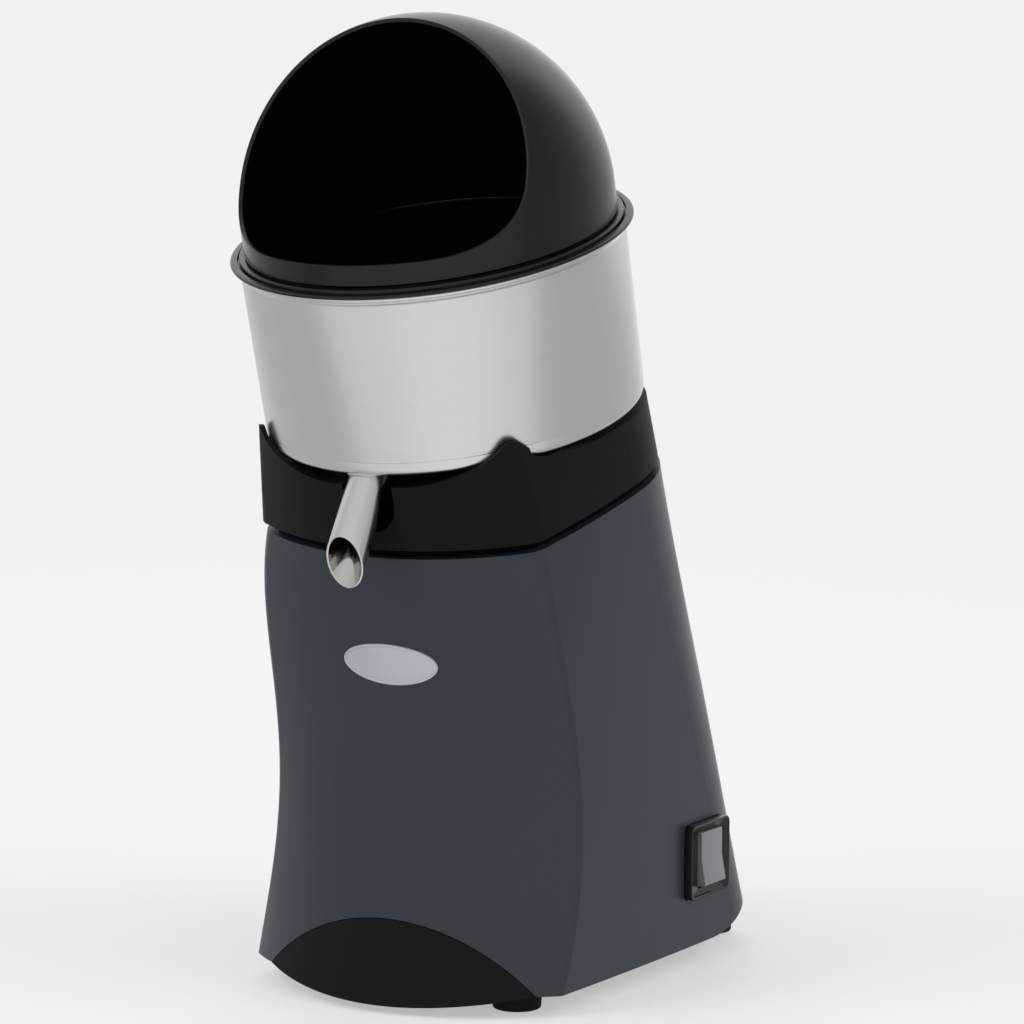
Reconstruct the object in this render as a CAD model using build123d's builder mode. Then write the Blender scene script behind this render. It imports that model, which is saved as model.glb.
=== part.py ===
"""Electric citrus press with a splash dome, in millimetres, standing on z = 0.

The origin is on the ground, in the middle of the machine's length and width. The front
looks along -Y, and the feet stand a little behind the origin, because the head leans out.
Dome, bowl, reamer and motor share one axis that leans forwards, called the head axis.
Heights on the head axis count from the underside of the rim's lip, upwards positive.
"""

import os
from collections import namedtuple
from math import cos, radians, sin, tan

from build123d import *

os.makedirs("parts", exist_ok=True)

# Head axis: where the rim stands and how far the head leans
TILT = 15.0
RIM_Y = -54.2
RIM_Z = 377.1

# Splash dome and its mouth
DOME_R = 92.5
DOME_CENTRE = 17.3
DOME_WALL = 2.0
DOME_FOOT = 4.5
SPIGOT_R = 89.6
SPIGOT_LOW = -7.0
MOUTH_SILL = 14.6
MOUTH_SLOPE = 29.1
MOUTH_TOP = 107.5
MOUTH_ROUND = 50.0

# Rim ring between dome and bowl
LIP_R = 100.0
LIP_THICK = 1.7
RING_BORE = 90.0
RING_SKIRT = 94.2
RING_LOW = -10.0
RING_TOP = 3.2

# Juice bowl, chimney and spout
BOWL_TOP_R = 95.7
BOWL_LOW_R = 94.8
BOWL_LOW = -91.2
SHEET = 1.2
BOWL_CORNER = 4.0
BEAD_R = 96.7
BEAD_HEIGHT = 3.0
CHIMNEY_BORE = 13.0
CHIMNEY_TOP = -64.0
SPOUT_R = 10.2
SPOUT_WALL = 1.1
SPOUT_ANGLE = 45.0
SPOUT_ROOT_Y = -79.7
SPOUT_TIP_Y = -115.9
SPOUT_TIP_LEAN = -3.0

# Strainer and reamer
STRAINER_R = 92.8
STRAINER_LEVEL = -76.0
BASKET_TOP = -11.0
STRAINER_ROWS = [(32.0, 16), (44.0, 22), (70.0, 30), (81.0, 36)]
STRAINER_HOLE = 2.2
REAMER_R = 38.0
REAMER_LOW = -72.0
REAMER_TOP = -14.0
REAMER_RIBS = 8
RIB_THICK = 3.4

# Collar and the reveal under it
COLLAR_TOP = -78.8
COLLAR_LOW = -130.0
POCKET_GAP = 1.5
POCKET_LEDGE_R = 84.0
POCKET_FLOOR = -97.2
NOTCH_X = 2.1
NOTCH_R = 13.9
NOTCH_CENTRE = -107.1
NOTCH_DEPTH = 64.0
HORN_X = 72.6
HORN_Y = -67.6
HORN_FLARE = [
    (1.5, -79.0),
    (3.5, -79.8),
    (6.5, -82.2),
    (11.2, -85.6),
    (19.0, -89.4),
    (30.0, -93.0),
    (40.0, -95.4),
    (55.0, POCKET_FLOOR),
]
REVEAL = 4.9
REVEAL_INSET = 4.0

# Body shell: stations down the head axis, each an outline on its own tilted plane
WALL = 4.0
DECK = 6.0
SHELL_TOP = COLLAR_LOW - REVEAL
SHELL_LOW = 11.0
Station = namedtuple(
    "Station", "drop tilt front corner_x corner_y front_round side_x side_y back rear_round"
)
STATIONS = [
    Station(387.3, 0.0, -161.5, 88.5, -125.5, 4.0, 92.0, -18.0, 108.0, 48.0),
    Station(325.0, 3.0, -124.0, 89.6, -91.6, 5.0, 92.0, -8.0, 102.0, 54.0),
    Station(265.0, 7.5, -100.3, 88.0, -74.4, 6.0, 91.8, 0.0, 97.5, 60.5),
    Station(205.0, 11.5, -91.5, 86.0, -71.2, 7.0, 91.6, 3.0, 93.5, 67.5),
    Station(-SHELL_TOP, TILT, -90.2, 78.9, -67.4, 14.0, 88.0, -5.5, 95.0, 74.5),
]

# Heel: the lower edge of the shell is rounded up at its two rear corners
HEEL_REACH = 101.0
HEEL_R = 20.0
HEEL_TURN = 30.5

# Toe panel: a lens in the front view, with a shelf that is screwed to the base plate
TOE_X = 3.9
TOE_HALF = 75.7
TOE_APEX = 43.6
TOE_LOW = 3.8
TOE_GAP = 0.4
TOE_BACK = 60.0
TOE_SHELF = 3.0
TOE_SCREWS = [(-35.0, -95.0), (35.0, -95.0)]

# Badge, an oval on the front
BADGE_HALF_WIDTH = 27.0
BADGE_HALF_HEIGHT = 10.5
BADGE_THICK = 1.2
BADGE_Y = -91.2
BADGE_Z = 169.8
BADGE_LEAN = 18.0

# Base plate and feet
PLATE = 3.0
PLATE_GAP = 0.6
PLATE_REACH = 110.5
UPSTAND = 2.5
UPSTAND_Y = 99.0
UPSTAND_TOP = 34.0
FEET_Y = 33.0
FOOT_X = 58.8
FOOT_Y = 100.7
FOOT_R = 12.6
FOOT_SCREW_R = 2.5
POST_PLACES = [(-82.0, -29.0), (82.0, -29.0), (-82.0, 91.0), (82.0, 91.0)]
POST_R = 7.0
POST_TOP = 40.0

# Motor on the head axis
SHAFT_R = 7.5
SHAFT_TOP = -50.0
SHAFT_LOW = -266.0
RUN_CLEAR = 0.05
MOTOR_R = 58.0
ROTOR_R = 34.5
STATOR_BORE = 35.0
STACK_TOP = -166.0
STACK_LOW = -226.0
BELL_HEIGHT = 20.0
BEARING_R = 17.5
BEARING_WIDTH = 11.0
MOTOR_BOLT_RING = 53.0
PIN_HEIGHT = -60.5
PIN_R = 2.0
PIN_HALF = 10.5

# Rocker switch on the right side
SWITCH_Y = 64.0
SWITCH_Z = 55.5
SWITCH_SEAT = 90.0
FRAME_W = 41.0
FRAME_H = 39.0
FRAME_FACE = 96.6
HOUSING_W = 26.0
HOUSING_H = 34.0
HOUSING_BACK = 62.0
HOUSING_FACE = 93.0
LINER = 1.6
ROCKER_W = 22.0
ROCKER_HALF = 14.3
ROCKER_RISE = 12.4
ROCKER_DIP = 1.2
ROCKER_THROW = 5.0
ROCKER_PIVOT = 86.0
ROCKER_PIN_R = 1.5

# Mains inlet at the back
GLAND_X = -34.0
GLAND_Z = 60.0
GLAND_SEAT = 131.0

HEAD = Plane(
    origin=(0, RIM_Y, RIM_Z),
    x_dir=(1, 0, 0),
    z_dir=(0, -sin(radians(TILT)), cos(radians(TILT))),
)
HEAD_AXIS = Axis(HEAD.origin, HEAD.z_dir)
HEAD_SECTION = Plane(HEAD.origin, x_dir=HEAD.x_dir, z_dir=-HEAD.y_dir)
HEAD_SIDE = Plane(HEAD.origin, x_dir=HEAD.y_dir, z_dir=HEAD.x_dir)


def turned_face(*points):
    """Closed profile of a turned piece, as (radius, height) corners on the head axis."""
    with BuildSketch(HEAD_SECTION) as profile:
        with BuildLine():
            Polyline(*points, close=True)
        make_face()
    return profile.sketch.face()


def band(inner, outer, low, high):
    """Square ring section as a turned profile."""
    return turned_face((inner, low), (outer, low), (outer, high), (inner, high))


def outline(plane, station, inset=0.0):
    """Rounded-square outline of body and collar: bowed front, soft rear corners."""
    corner = (station.corner_x - inset, station.corner_y + inset)
    rear = (station.side_x - 1.5 - inset, station.back - inset)
    with BuildSketch(plane) as shape:
        with BuildLine():
            ThreePointArc((-corner[0], corner[1]), (0, station.front + inset), corner)
            ThreePointArc(corner, (station.side_x - inset, station.side_y), rear)
            Line(rear, (-rear[0], rear[1]))
            ThreePointArc(
                (-rear[0], rear[1]),
                (inset - station.side_x, station.side_y),
                (-corner[0], corner[1]),
            )
        make_face()
        fillet(shape.vertices().group_by(Axis.Y)[0], station.front_round)
        fillet(shape.vertices().group_by(Axis.Y)[-1], station.rear_round - inset)
    return shape.sketch.face()


def station_plane(station):
    """Plane of one body station, tilted about X, on the head axis."""
    lean = radians(station.tilt)
    return Plane(
        origin=HEAD.from_local_coords((0, 0, -station.drop)),
        x_dir=(1, 0, 0),
        z_dir=(0, -sin(lean), cos(lean)),
    )


def body_sections(inset, lid=0.0):
    """Outlines from toe to shoulder, drawn in by inset, the top one lowered by lid."""
    shoulder = STATIONS[-1]._replace(drop=STATIONS[-1].drop + lid)
    levels = STATIONS[:-1] + [shoulder]
    return [outline(station_plane(level), level, inset) for level in levels]


def toe_lens(gap, low):
    """Front view of the toe: an arch over a flatter lower edge."""
    half = TOE_HALF - gap
    with BuildSketch(Plane.XZ.offset(TOE_BACK)) as lens:
        with BuildLine():
            ThreePointArc((TOE_X - half, SHELL_LOW), (TOE_X, TOE_APEX - gap), (TOE_X + half, SHELL_LOW))
            ThreePointArc((TOE_X - half, SHELL_LOW), (TOE_X, low), (TOE_X + half, SHELL_LOW))
        make_face()
    return lens.sketch.face()


def screw_solids(plane, places, shank_r, length, head_r, head_height):
    """Round-headed screws, heads outside the plane and shanks behind it."""
    with BuildPart() as screws:
        with BuildSketch(plane):
            with Locations(*places):
                Circle(shank_r)
        extrude(amount=-length)
        with BuildSketch(plane):
            with Locations(*places):
                Circle(head_r)
        extrude(amount=head_height)
    return screws.part


# Solid body form, the room inside it and the skin that the badge lies in
with BuildPart() as outer_form:
    loft(body_sections(0.0))

with BuildPart() as cavity_form:
    loft(body_sections(WALL, DECK))
    with BuildSketch(Plane.XY.offset(SHELL_LOW + PLATE)):
        with Locations(*POST_PLACES):
            Circle(POST_R)
    extrude(amount=POST_TOP - SHELL_LOW - PLATE, mode=Mode.SUBTRACT)
    with BuildSketch(Plane.YZ.offset(SWITCH_SEAT - 5.0)):
        with Locations((SWITCH_Y, SWITCH_Z)):
            Rectangle(FRAME_W + 4, FRAME_H + 4)
    extrude(amount=20, mode=Mode.SUBTRACT)
    with BuildSketch(Plane.XZ.offset(-(GLAND_SEAT - 5.0))):
        with Locations((GLAND_X, GLAND_Z)):
            Circle(17.0)
    extrude(amount=-30, mode=Mode.SUBTRACT)

# Splash dome: a hemisphere on a short straight band, with a spigot into the rim ring
with BuildPart() as splash_dome:
    with BuildSketch(HEAD_SECTION):
        with BuildLine():
            inner_r = DOME_R - DOME_WALL
            spigot_in = SPIGOT_R - DOME_WALL
            shelf = DOME_FOOT + DOME_WALL
            Polyline(
                (inner_r, DOME_CENTRE),
                (inner_r, shelf),
                (spigot_in, shelf),
                (spigot_in, SPIGOT_LOW),
                (SPIGOT_R, SPIGOT_LOW),
                (SPIGOT_R, DOME_FOOT),
                (DOME_R, DOME_FOOT),
                (DOME_R, DOME_CENTRE),
            )
            CenterArc((0, DOME_CENTRE), DOME_R, 0, 90)
            Line((0, DOME_CENTRE + DOME_R), (0, DOME_CENTRE + inner_r))
            CenterArc((0, DOME_CENTRE), inner_r, 0, 90)
        make_face()
    revolve(axis=HEAD_AXIS)
    with BuildSketch(HEAD_SIDE) as mouth:
        mouth_run = tan(radians(MOUTH_SLOPE))
        roof = MOUTH_TOP + 15.0
        sill_corner = (-(MOUTH_TOP - MOUTH_SILL) * mouth_run, MOUTH_SILL)
        with BuildLine():
            Polyline(
                sill_corner,
                ((roof - MOUTH_TOP) * mouth_run, roof),
                (-LIP_R - 20, roof),
                (-LIP_R - 20, MOUTH_SILL),
                close=True,
            )
        make_face()
        fillet(mouth.vertices().sort_by_distance(sill_corner)[0], MOUTH_ROUND)
    extrude(amount=LIP_R + 20, both=True, mode=Mode.SUBTRACT)
splash_dome.part.label = "splash_dome"
export_step(splash_dome.part, "parts/splash_dome.step")

# Rim ring: lip over the bowl, two steps, ledge that the dome stands on
with BuildPart() as rim_ring:
    revolve(
        turned_face(
            (SPIGOT_R - DOME_WALL - 0.6, RING_LOW),
            (RING_SKIRT, RING_LOW),
            (RING_SKIRT, 0),
            (LIP_R, 0),
            (LIP_R, LIP_THICK),
            (96.4, LIP_THICK),
            (96.4, LIP_THICK - 0.8),
            (95.2, LIP_THICK - 0.8),
            (95.2, RING_TOP),
            (RING_BORE, RING_TOP),
            (RING_BORE, SPIGOT_LOW),
            (SPIGOT_R - DOME_WALL - 0.6, SPIGOT_LOW),
        ),
        axis=HEAD_AXIS,
    )
    lip_edges = rim_ring.edges().filter_by(GeomType.CIRCLE).sort_by(lambda edge: edge.radius)[-2:]
    fillet(lip_edges, 0.7)
rim_ring.part.label = "rim_ring"
export_step(rim_ring.part, "parts/rim_ring.step")

# Spout axis: down and forwards from the floor of the bowl
spout_lean = radians(SPOUT_ANGLE)
spout_root = HEAD.from_local_coords((0, SPOUT_ROOT_Y, BOWL_LOW))
spout_tip = HEAD.from_local_coords(
    (0, SPOUT_TIP_Y, BOWL_LOW + (SPOUT_TIP_Y - SPOUT_ROOT_Y) / tan(spout_lean))
)
SPOUT = Plane(spout_root, x_dir=(1, 0, 0), z_dir=spout_tip - spout_root)

# Juice bowl: pressed sheet with a rolled bead, a chimney round the shaft and the spout's hole
with BuildPart() as juice_bowl:
    floor_in = BOWL_LOW + SHEET
    inner_low = BOWL_LOW_R - SHEET
    with BuildSketch(HEAD_SECTION):
        with BuildLine():
            Polyline(
                (BOWL_LOW_R, BOWL_LOW + BOWL_CORNER),
                (BOWL_TOP_R, -BEAD_HEIGHT - 1),
                (BEAD_R, -BEAD_HEIGHT),
                (BEAD_R, -0.6),
                (BEAD_R - 0.6, 0),
                (BOWL_TOP_R - SHEET, 0),
                (inner_low, BOWL_LOW + BOWL_CORNER),
            )
            RadiusArc(
                (inner_low, BOWL_LOW + BOWL_CORNER),
                (BOWL_LOW_R - BOWL_CORNER, floor_in),
                BOWL_CORNER - SHEET,
            )
            Polyline(
                (BOWL_LOW_R - BOWL_CORNER, floor_in),
                (CHIMNEY_BORE + SHEET, floor_in),
                (CHIMNEY_BORE + SHEET, CHIMNEY_TOP),
                (CHIMNEY_BORE, CHIMNEY_TOP),
                (CHIMNEY_BORE, BOWL_LOW),
                (BOWL_LOW_R - BOWL_CORNER, BOWL_LOW),
            )
            RadiusArc(
                (BOWL_LOW_R - BOWL_CORNER, BOWL_LOW),
                (BOWL_LOW_R, BOWL_LOW + BOWL_CORNER),
                -BOWL_CORNER,
            )
        make_face()
    revolve(axis=HEAD_AXIS)
    with BuildSketch(SPOUT.offset(-20)):
        Circle(SPOUT_R - SPOUT_WALL / 2)
    extrude(amount=40, mode=Mode.SUBTRACT)
juice_bowl.part.label = "juice_bowl"
export_step(juice_bowl.part, "parts/juice_bowl.step")

# Underside of the bowl as one solid profile, which the tube is fitted to
with BuildSketch(HEAD_SECTION) as underside:
    with BuildLine():
        Line((0, BOWL_LOW), (BOWL_LOW_R - BOWL_CORNER, BOWL_LOW))
        RadiusArc(
            (BOWL_LOW_R - BOWL_CORNER, BOWL_LOW),
            (BOWL_LOW_R, BOWL_LOW + BOWL_CORNER),
            -BOWL_CORNER,
        )
        Polyline((BOWL_LOW_R, BOWL_LOW + BOWL_CORNER), (0, BOWL_LOW + BOWL_CORNER), (0, BOWL_LOW))
    make_face()
bowl_outside = underside.sketch.face()

# Spout tube: fitted to the underside of the bowl and welded there, its tip cut steeply
with BuildPart() as spout_tube:
    with BuildSketch(SPOUT.offset(-30)):
        Circle(SPOUT_R)
        Circle(SPOUT_R - SPOUT_WALL, mode=Mode.SUBTRACT)
    extrude(amount=110)
    split(bisect_by=HEAD.offset(BOWL_LOW + BOWL_CORNER), keep=Keep.BOTTOM)
    revolve(bowl_outside, axis=HEAD_AXIS, mode=Mode.SUBTRACT)
    tip_lean = radians(SPOUT_TIP_LEAN)
    tip_normal = HEAD.z_dir * sin(tip_lean) - HEAD.y_dir * cos(tip_lean)
    split(bisect_by=Plane(spout_tip, x_dir=(1, 0, 0), z_dir=tip_normal), keep=Keep.BOTTOM)
spout_tube.part.label = "spout_tube"
export_step(spout_tube.part, "parts/spout_tube.step")

# Strainer: a moulded basket with a perforated floor, on a support ring with drain slots
with BuildPart() as strainer:
    plate_top = STRAINER_LEVEL + 1.0
    support_r = 60.0
    revolve(band(18.0, STRAINER_R, STRAINER_LEVEL, plate_top), axis=HEAD_AXIS)
    revolve(band(STRAINER_R - 1.0, STRAINER_R, STRAINER_LEVEL - 6, BASKET_TOP), axis=HEAD_AXIS)
    revolve(band(18.0, 19.0, plate_top, plate_top + 2), axis=HEAD_AXIS)
    revolve(band(support_r - 1.0, support_r, floor_in, STRAINER_LEVEL), axis=HEAD_AXIS)
    with BuildSketch(HEAD.offset(STRAINER_LEVEL)):
        for row_r, count in STRAINER_ROWS:
            with PolarLocations(row_r, count):
                Circle(STRAINER_HOLE)
    extrude(amount=1.0, mode=Mode.SUBTRACT)
    with BuildSketch(HEAD.offset(floor_in)):
        with PolarLocations(support_r - 0.5, 6):
            Rectangle(6, 12)
    extrude(amount=5.0, mode=Mode.SUBTRACT)
strainer.part.label = "strainer"
export_step(strainer.part, "parts/strainer.step")

# Reamer cone: ribbed ogive, hollow below for the chimney, slotted for the cross pin
with BuildPart() as reamer_cone:
    with BuildSketch(HEAD_SECTION):
        with BuildLine():
            ThreePointArc((31, REAMER_LOW + 3), (23.5, -40), (4, REAMER_TOP))
            Polyline(
                (4, REAMER_TOP),
                (0, REAMER_TOP),
                (0, REAMER_LOW),
                (REAMER_R, REAMER_LOW),
                (REAMER_R, REAMER_LOW + 2),
                (31, REAMER_LOW + 3),
            )
        make_face()
    revolve(axis=HEAD_AXIS)
    for index in range(REAMER_RIBS):
        spoke = HEAD.x_dir.rotate(Axis((0, 0, 0), HEAD.z_dir), index * 360 / REAMER_RIBS)
        with BuildSketch(Plane(HEAD.origin, x_dir=spoke, z_dir=spoke.cross(HEAD.z_dir))):
            with BuildLine():
                ThreePointArc((37, REAMER_LOW + 2), (28.5, -38), (3, REAMER_TOP + 2))
                Polyline((3, REAMER_TOP + 2), (3, REAMER_LOW + 2), (37, REAMER_LOW + 2))
            make_face()
        extrude(amount=RIB_THICK / 2, both=True)
    revolve(band(0, SHAFT_R + 2 * RUN_CLEAR, REAMER_LOW, SHAFT_TOP + 1), axis=HEAD_AXIS, mode=Mode.SUBTRACT)
    revolve(band(11.5, 17.0, REAMER_LOW, CHIMNEY_TOP + 2.5), axis=HEAD_AXIS, mode=Mode.SUBTRACT)
    with BuildSketch(HEAD.offset(REAMER_LOW)):
        Rectangle(2 * PIN_HALF + 2.2, 2 * PIN_R + 0.6)
    extrude(amount=PIN_HEIGHT + PIN_R + 0.5 - REAMER_LOW, mode=Mode.SUBTRACT)
reamer_cone.part.label = "reamer_cone"
export_step(reamer_cone.part, "parts/reamer_cone.step")

# Collar: drafted block, a low saddle under the bowl that rises to a horn at each front corner
with BuildPart() as collar_form:
    top_station = Station(0, TILT, -92.0, 73.0, -67.8, 10.0, 86.8, 0.0, 90.0, 74.0)
    low_station = Station(0, TILT, -91.7, 80.4, -67.7, 14.0, 88.3, -12.0, 95.0, 77.5)
    loft(
        [
            outline(HEAD.offset(COLLAR_LOW), low_station),
            outline(HEAD.offset(COLLAR_TOP), top_station),
        ],
        ruled=True,
    )

# Pocket of the collar: follows the bowl's wall and round corner with an even gap
pocket_r = BOWL_LOW_R + POCKET_GAP
pocket_corner = BOWL_CORNER + POCKET_GAP
with BuildSketch(HEAD_SECTION) as pocket:
    with BuildLine():
        RadiusArc(
            (pocket_r - pocket_corner, BOWL_LOW - POCKET_GAP),
            (pocket_r, BOWL_LOW + BOWL_CORNER),
            -pocket_corner,
        )
        Polyline(
            (pocket_r, BOWL_LOW + BOWL_CORNER),
            (pocket_r, COLLAR_TOP + 5),
            (0, COLLAR_TOP + 5),
            (0, POCKET_FLOOR),
            (POCKET_LEDGE_R, POCKET_FLOOR),
            (POCKET_LEDGE_R, BOWL_LOW - POCKET_GAP),
            (pocket_r - pocket_corner, BOWL_LOW - POCKET_GAP),
        )
    make_face()
pocket_face = pocket.sketch.face()

with BuildPart() as collar:
    revolve(band(0, 150.0, COLLAR_LOW, POCKET_FLOOR), axis=HEAD_AXIS)
    for side in (-1, 1):
        horn_root = HEAD.from_local_coords((side * HORN_X, HORN_Y, 0))
        with BuildSketch(Plane(horn_root, x_dir=HEAD.x_dir, z_dir=-HEAD.y_dir)):
            with BuildLine():
                Spline(*HORN_FLARE)
                Polyline(
                    HORN_FLARE[-1],
                    (HORN_FLARE[-1][0], POCKET_FLOOR - 5),
                    (0, POCKET_FLOOR - 5),
                    (0, HORN_FLARE[0][1]),
                    HORN_FLARE[0],
                )
            make_face()
        revolve(axis=Axis(horn_root, HEAD.z_dir))
    add(collar_form.part, mode=Mode.INTERSECT)
    revolve(pocket_face, axis=HEAD_AXIS, mode=Mode.SUBTRACT)
    revolve(band(40.0, 58.0, POCKET_FLOOR, BOWL_LOW), axis=HEAD_AXIS)
    revolve(band(28.0, 58.0, COLLAR_LOW, POCKET_FLOOR - 6), axis=HEAD_AXIS, mode=Mode.SUBTRACT)
    revolve(band(0, 16.0, POCKET_FLOOR - 9, POCKET_FLOOR + 10), axis=HEAD_AXIS, mode=Mode.SUBTRACT)
    revolve(band(0, 20.0, COLLAR_LOW, POCKET_FLOOR - 9), axis=HEAD_AXIS, mode=Mode.SUBTRACT)
    with BuildSketch(HEAD_SECTION.offset(NOTCH_DEPTH)):
        with Locations((NOTCH_X, NOTCH_CENTRE)):
            Circle(NOTCH_R)
        with Locations((NOTCH_X, NOTCH_CENTRE + 30)):
            Rectangle(2 * NOTCH_R, 60)
    extrude(amount=60, mode=Mode.SUBTRACT)
    with BuildSketch(HEAD.offset(COLLAR_LOW)):
        with GridLocations(104, 100, 2, 2):
            Circle(2.05)
    extrude(amount=14, mode=Mode.SUBTRACT)
collar.part.label = "collar"
export_step(collar.part, "parts/collar.step")

# Gasket in the reveal between collar and body
with BuildPart() as collar_gasket:
    extrude(outline(HEAD.offset(SHELL_TOP), STATIONS[-1], REVEAL_INSET), amount=REVEAL)
    revolve(band(0, 62.0, SHELL_TOP, COLLAR_LOW), axis=HEAD_AXIS, mode=Mode.SUBTRACT)
    with BuildSketch(HEAD.offset(SHELL_TOP)):
        with GridLocations(104, 100, 2, 2):
            Circle(2.3)
    extrude(amount=REVEAL, mode=Mode.SUBTRACT)
collar_gasket.part.label = "collar_gasket"
export_step(collar_gasket.part, "parts/collar_gasket.step")

# Collar screws, up through the deck
collar_screws = screw_solids(
    Plane(HEAD.offset(SHELL_TOP - DECK).origin, x_dir=HEAD.x_dir, z_dir=-HEAD.z_dir),
    [(x, y) for x in (-52, 52) for y in (-50, 50)],
    2.0,
    DECK + REVEAL + 12,
    4.0,
    3.0,
)
collar_screws.label = "collar_screws"
export_step(collar_screws, "parts/collar_screws.step")

# Body shell: one hollow leaning shell with a deck, open below
with BuildPart() as body_shell:
    add(outer_form.part)
    add(cavity_form.part, mode=Mode.SUBTRACT)
    split(bisect_by=Plane.XY.offset(SHELL_LOW), keep=Keep.TOP)
    for side in (-1, 1):
        out = Vector(side * cos(radians(HEEL_TURN)), sin(radians(HEEL_TURN)), 0)
        with BuildSketch(Plane((0, FEET_Y, SHELL_LOW), x_dir=out, z_dir=out.cross(Vector(0, 0, 1)))):
            with BuildLine():
                CenterArc((HEEL_REACH, HEEL_R), HEEL_R, -90, 90)
                Polyline(
                    (HEEL_REACH + HEEL_R, HEEL_R),
                    (HEEL_REACH + 3 * HEEL_R, HEEL_R),
                    (HEEL_REACH + 3 * HEEL_R, -HEEL_R),
                    (HEEL_REACH, -HEEL_R),
                    (HEEL_REACH, 0),
                )
            make_face()
        extrude(amount=100, both=True, mode=Mode.SUBTRACT)
    extrude(toe_lens(0.0, -30.0), amount=200, mode=Mode.SUBTRACT)
    revolve(band(0, 40.0, SHELL_TOP - DECK - 1, SHELL_TOP + 1), axis=HEAD_AXIS, mode=Mode.SUBTRACT)
    with BuildSketch(HEAD.offset(SHELL_TOP)):
        with GridLocations(104, 100, 2, 2):
            Circle(2.2)
        with PolarLocations(62.0, 4, start_angle=45):
            Circle(2.05)
    extrude(amount=-DECK, mode=Mode.SUBTRACT)
    with BuildSketch(Plane.YZ.offset(SWITCH_SEAT)):
        with Locations((SWITCH_Y, SWITCH_Z)):
            RectangleRounded(FRAME_W + 0.6, FRAME_H + 0.6, 4.3)
    extrude(amount=20, mode=Mode.SUBTRACT)
    with BuildSketch(Plane.YZ.offset(SWITCH_SEAT - 12)):
        with Locations((SWITCH_Y, SWITCH_Z)):
            Rectangle(HOUSING_W + 0.8, HOUSING_H + 0.8)
    extrude(amount=14, mode=Mode.SUBTRACT)
    with BuildSketch(Plane.XZ.offset(-GLAND_SEAT)):
        with Locations((GLAND_X, GLAND_Z)):
            Circle(13.0)
    extrude(amount=-30, mode=Mode.SUBTRACT)
    with BuildSketch(Plane.XZ.offset(-(GLAND_SEAT - 12))):
        with Locations((GLAND_X, GLAND_Z)):
            Circle(8.0)
    extrude(amount=-14, mode=Mode.SUBTRACT)
    with BuildSketch(Plane.XY.offset(SHELL_LOW)):
        with Locations(*POST_PLACES):
            Circle(2.05)
    extrude(amount=18, mode=Mode.SUBTRACT)
body_shell.part.label = "body_shell"
export_step(body_shell.part, "parts/body_shell.step")

# Toe panel: the arched piece that closes the foot of the front
PLATE_TOP = SHELL_LOW + PLATE
with BuildPart() as toe_shelf:
    with BuildSketch(Plane.XY.offset(PLATE_TOP)):
        with Locations(*TOE_SCREWS):
            Rectangle(14, 24)
    extrude(amount=TOE_SHELF)
    add(outer_form.part, mode=Mode.INTERSECT)

with BuildPart() as toe_panel:
    extrude(toe_lens(TOE_GAP, TOE_LOW), amount=200)
    add(outer_form.part, mode=Mode.INTERSECT)
    add(cavity_form.part, mode=Mode.SUBTRACT)
    add(toe_shelf.part)
    with BuildSketch(Plane.XY.offset(PLATE_TOP)):
        with Locations(*TOE_SCREWS):
            Circle(2.05)
    extrude(amount=TOE_SHELF, mode=Mode.SUBTRACT)
toe_panel.part.label = "toe_panel"
export_step(toe_panel.part, "parts/toe_panel.step")

# Badge plate: a bare oval that follows the front
with BuildPart() as badge_plate:
    lean = radians(BADGE_LEAN)
    face_out = Vector(0, -cos(lean), -sin(lean))
    with BuildSketch(Plane((0, BADGE_Y, BADGE_Z), x_dir=(1, 0, 0), z_dir=face_out).offset(-20)):
        Ellipse(BADGE_HALF_WIDTH, BADGE_HALF_HEIGHT)
    extrude(amount=40)
    loft(body_sections(-BADGE_THICK), mode=Mode.INTERSECT)
    add(outer_form.part, mode=Mode.SUBTRACT)
badge_plate.part.label = "badge_plate"
export_step(badge_plate.part, "parts/badge_plate.step")

# Base plate: closes the shell from below, with vent slots, an upstand inside the back and trimmed rear corners
with BuildPart() as plate_room:
    loft(body_sections(WALL + PLATE_GAP + UPSTAND, DECK))
    split(bisect_by=Plane.XY.offset(PLATE_TOP), keep=Keep.TOP)

with BuildPart() as base_plate:
    loft(body_sections(WALL + PLATE_GAP, DECK))
    split(bisect_by=Plane.XY.offset(SHELL_LOW), keep=Keep.TOP)
    split(bisect_by=Plane.XY.offset(UPSTAND_TOP), keep=Keep.BOTTOM)
    add(plate_room.part, mode=Mode.SUBTRACT)
    with BuildSketch(Plane.XY.offset(PLATE_TOP)):
        with Locations((0, UPSTAND_Y)):
            Rectangle(300, 300, align=(Align.CENTER, Align.MAX))
    extrude(amount=50, mode=Mode.SUBTRACT)
    for side in (-1, 1):
        out = Vector(side * cos(radians(HEEL_TURN)), sin(radians(HEEL_TURN)), 0)
        split(bisect_by=Plane(Vector(0, FEET_Y, 0) + out * PLATE_REACH, z_dir=out), keep=Keep.BOTTOM)
    with BuildSketch(Plane.XY.offset(SHELL_LOW)):
        with Locations((0, FEET_Y - 20)):
            with GridLocations(12, 0, 7, 1):
                SlotOverall(70, 5, rotation=90)
        with Locations((0, FEET_Y)):
            with GridLocations(2 * FOOT_X, 2 * FOOT_Y, 2, 2):
                Circle(FOOT_SCREW_R + 0.1)
        with Locations(*POST_PLACES, *TOE_SCREWS):
            Circle(2.2)
    extrude(amount=PLATE, mode=Mode.SUBTRACT)
base_plate.part.label = "base_plate"
export_step(base_plate.part, "parts/base_plate.step")

BELOW = Plane((0, 0, SHELL_LOW), x_dir=(1, 0, 0), z_dir=(0, 0, -1))
base_screws = screw_solids(BELOW, [(x, -y) for x, y in POST_PLACES], 2.0, 16, 4.0, 2.4)
base_screws.label = "base_screws"
export_step(base_screws, "parts/base_screws.step")

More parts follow.
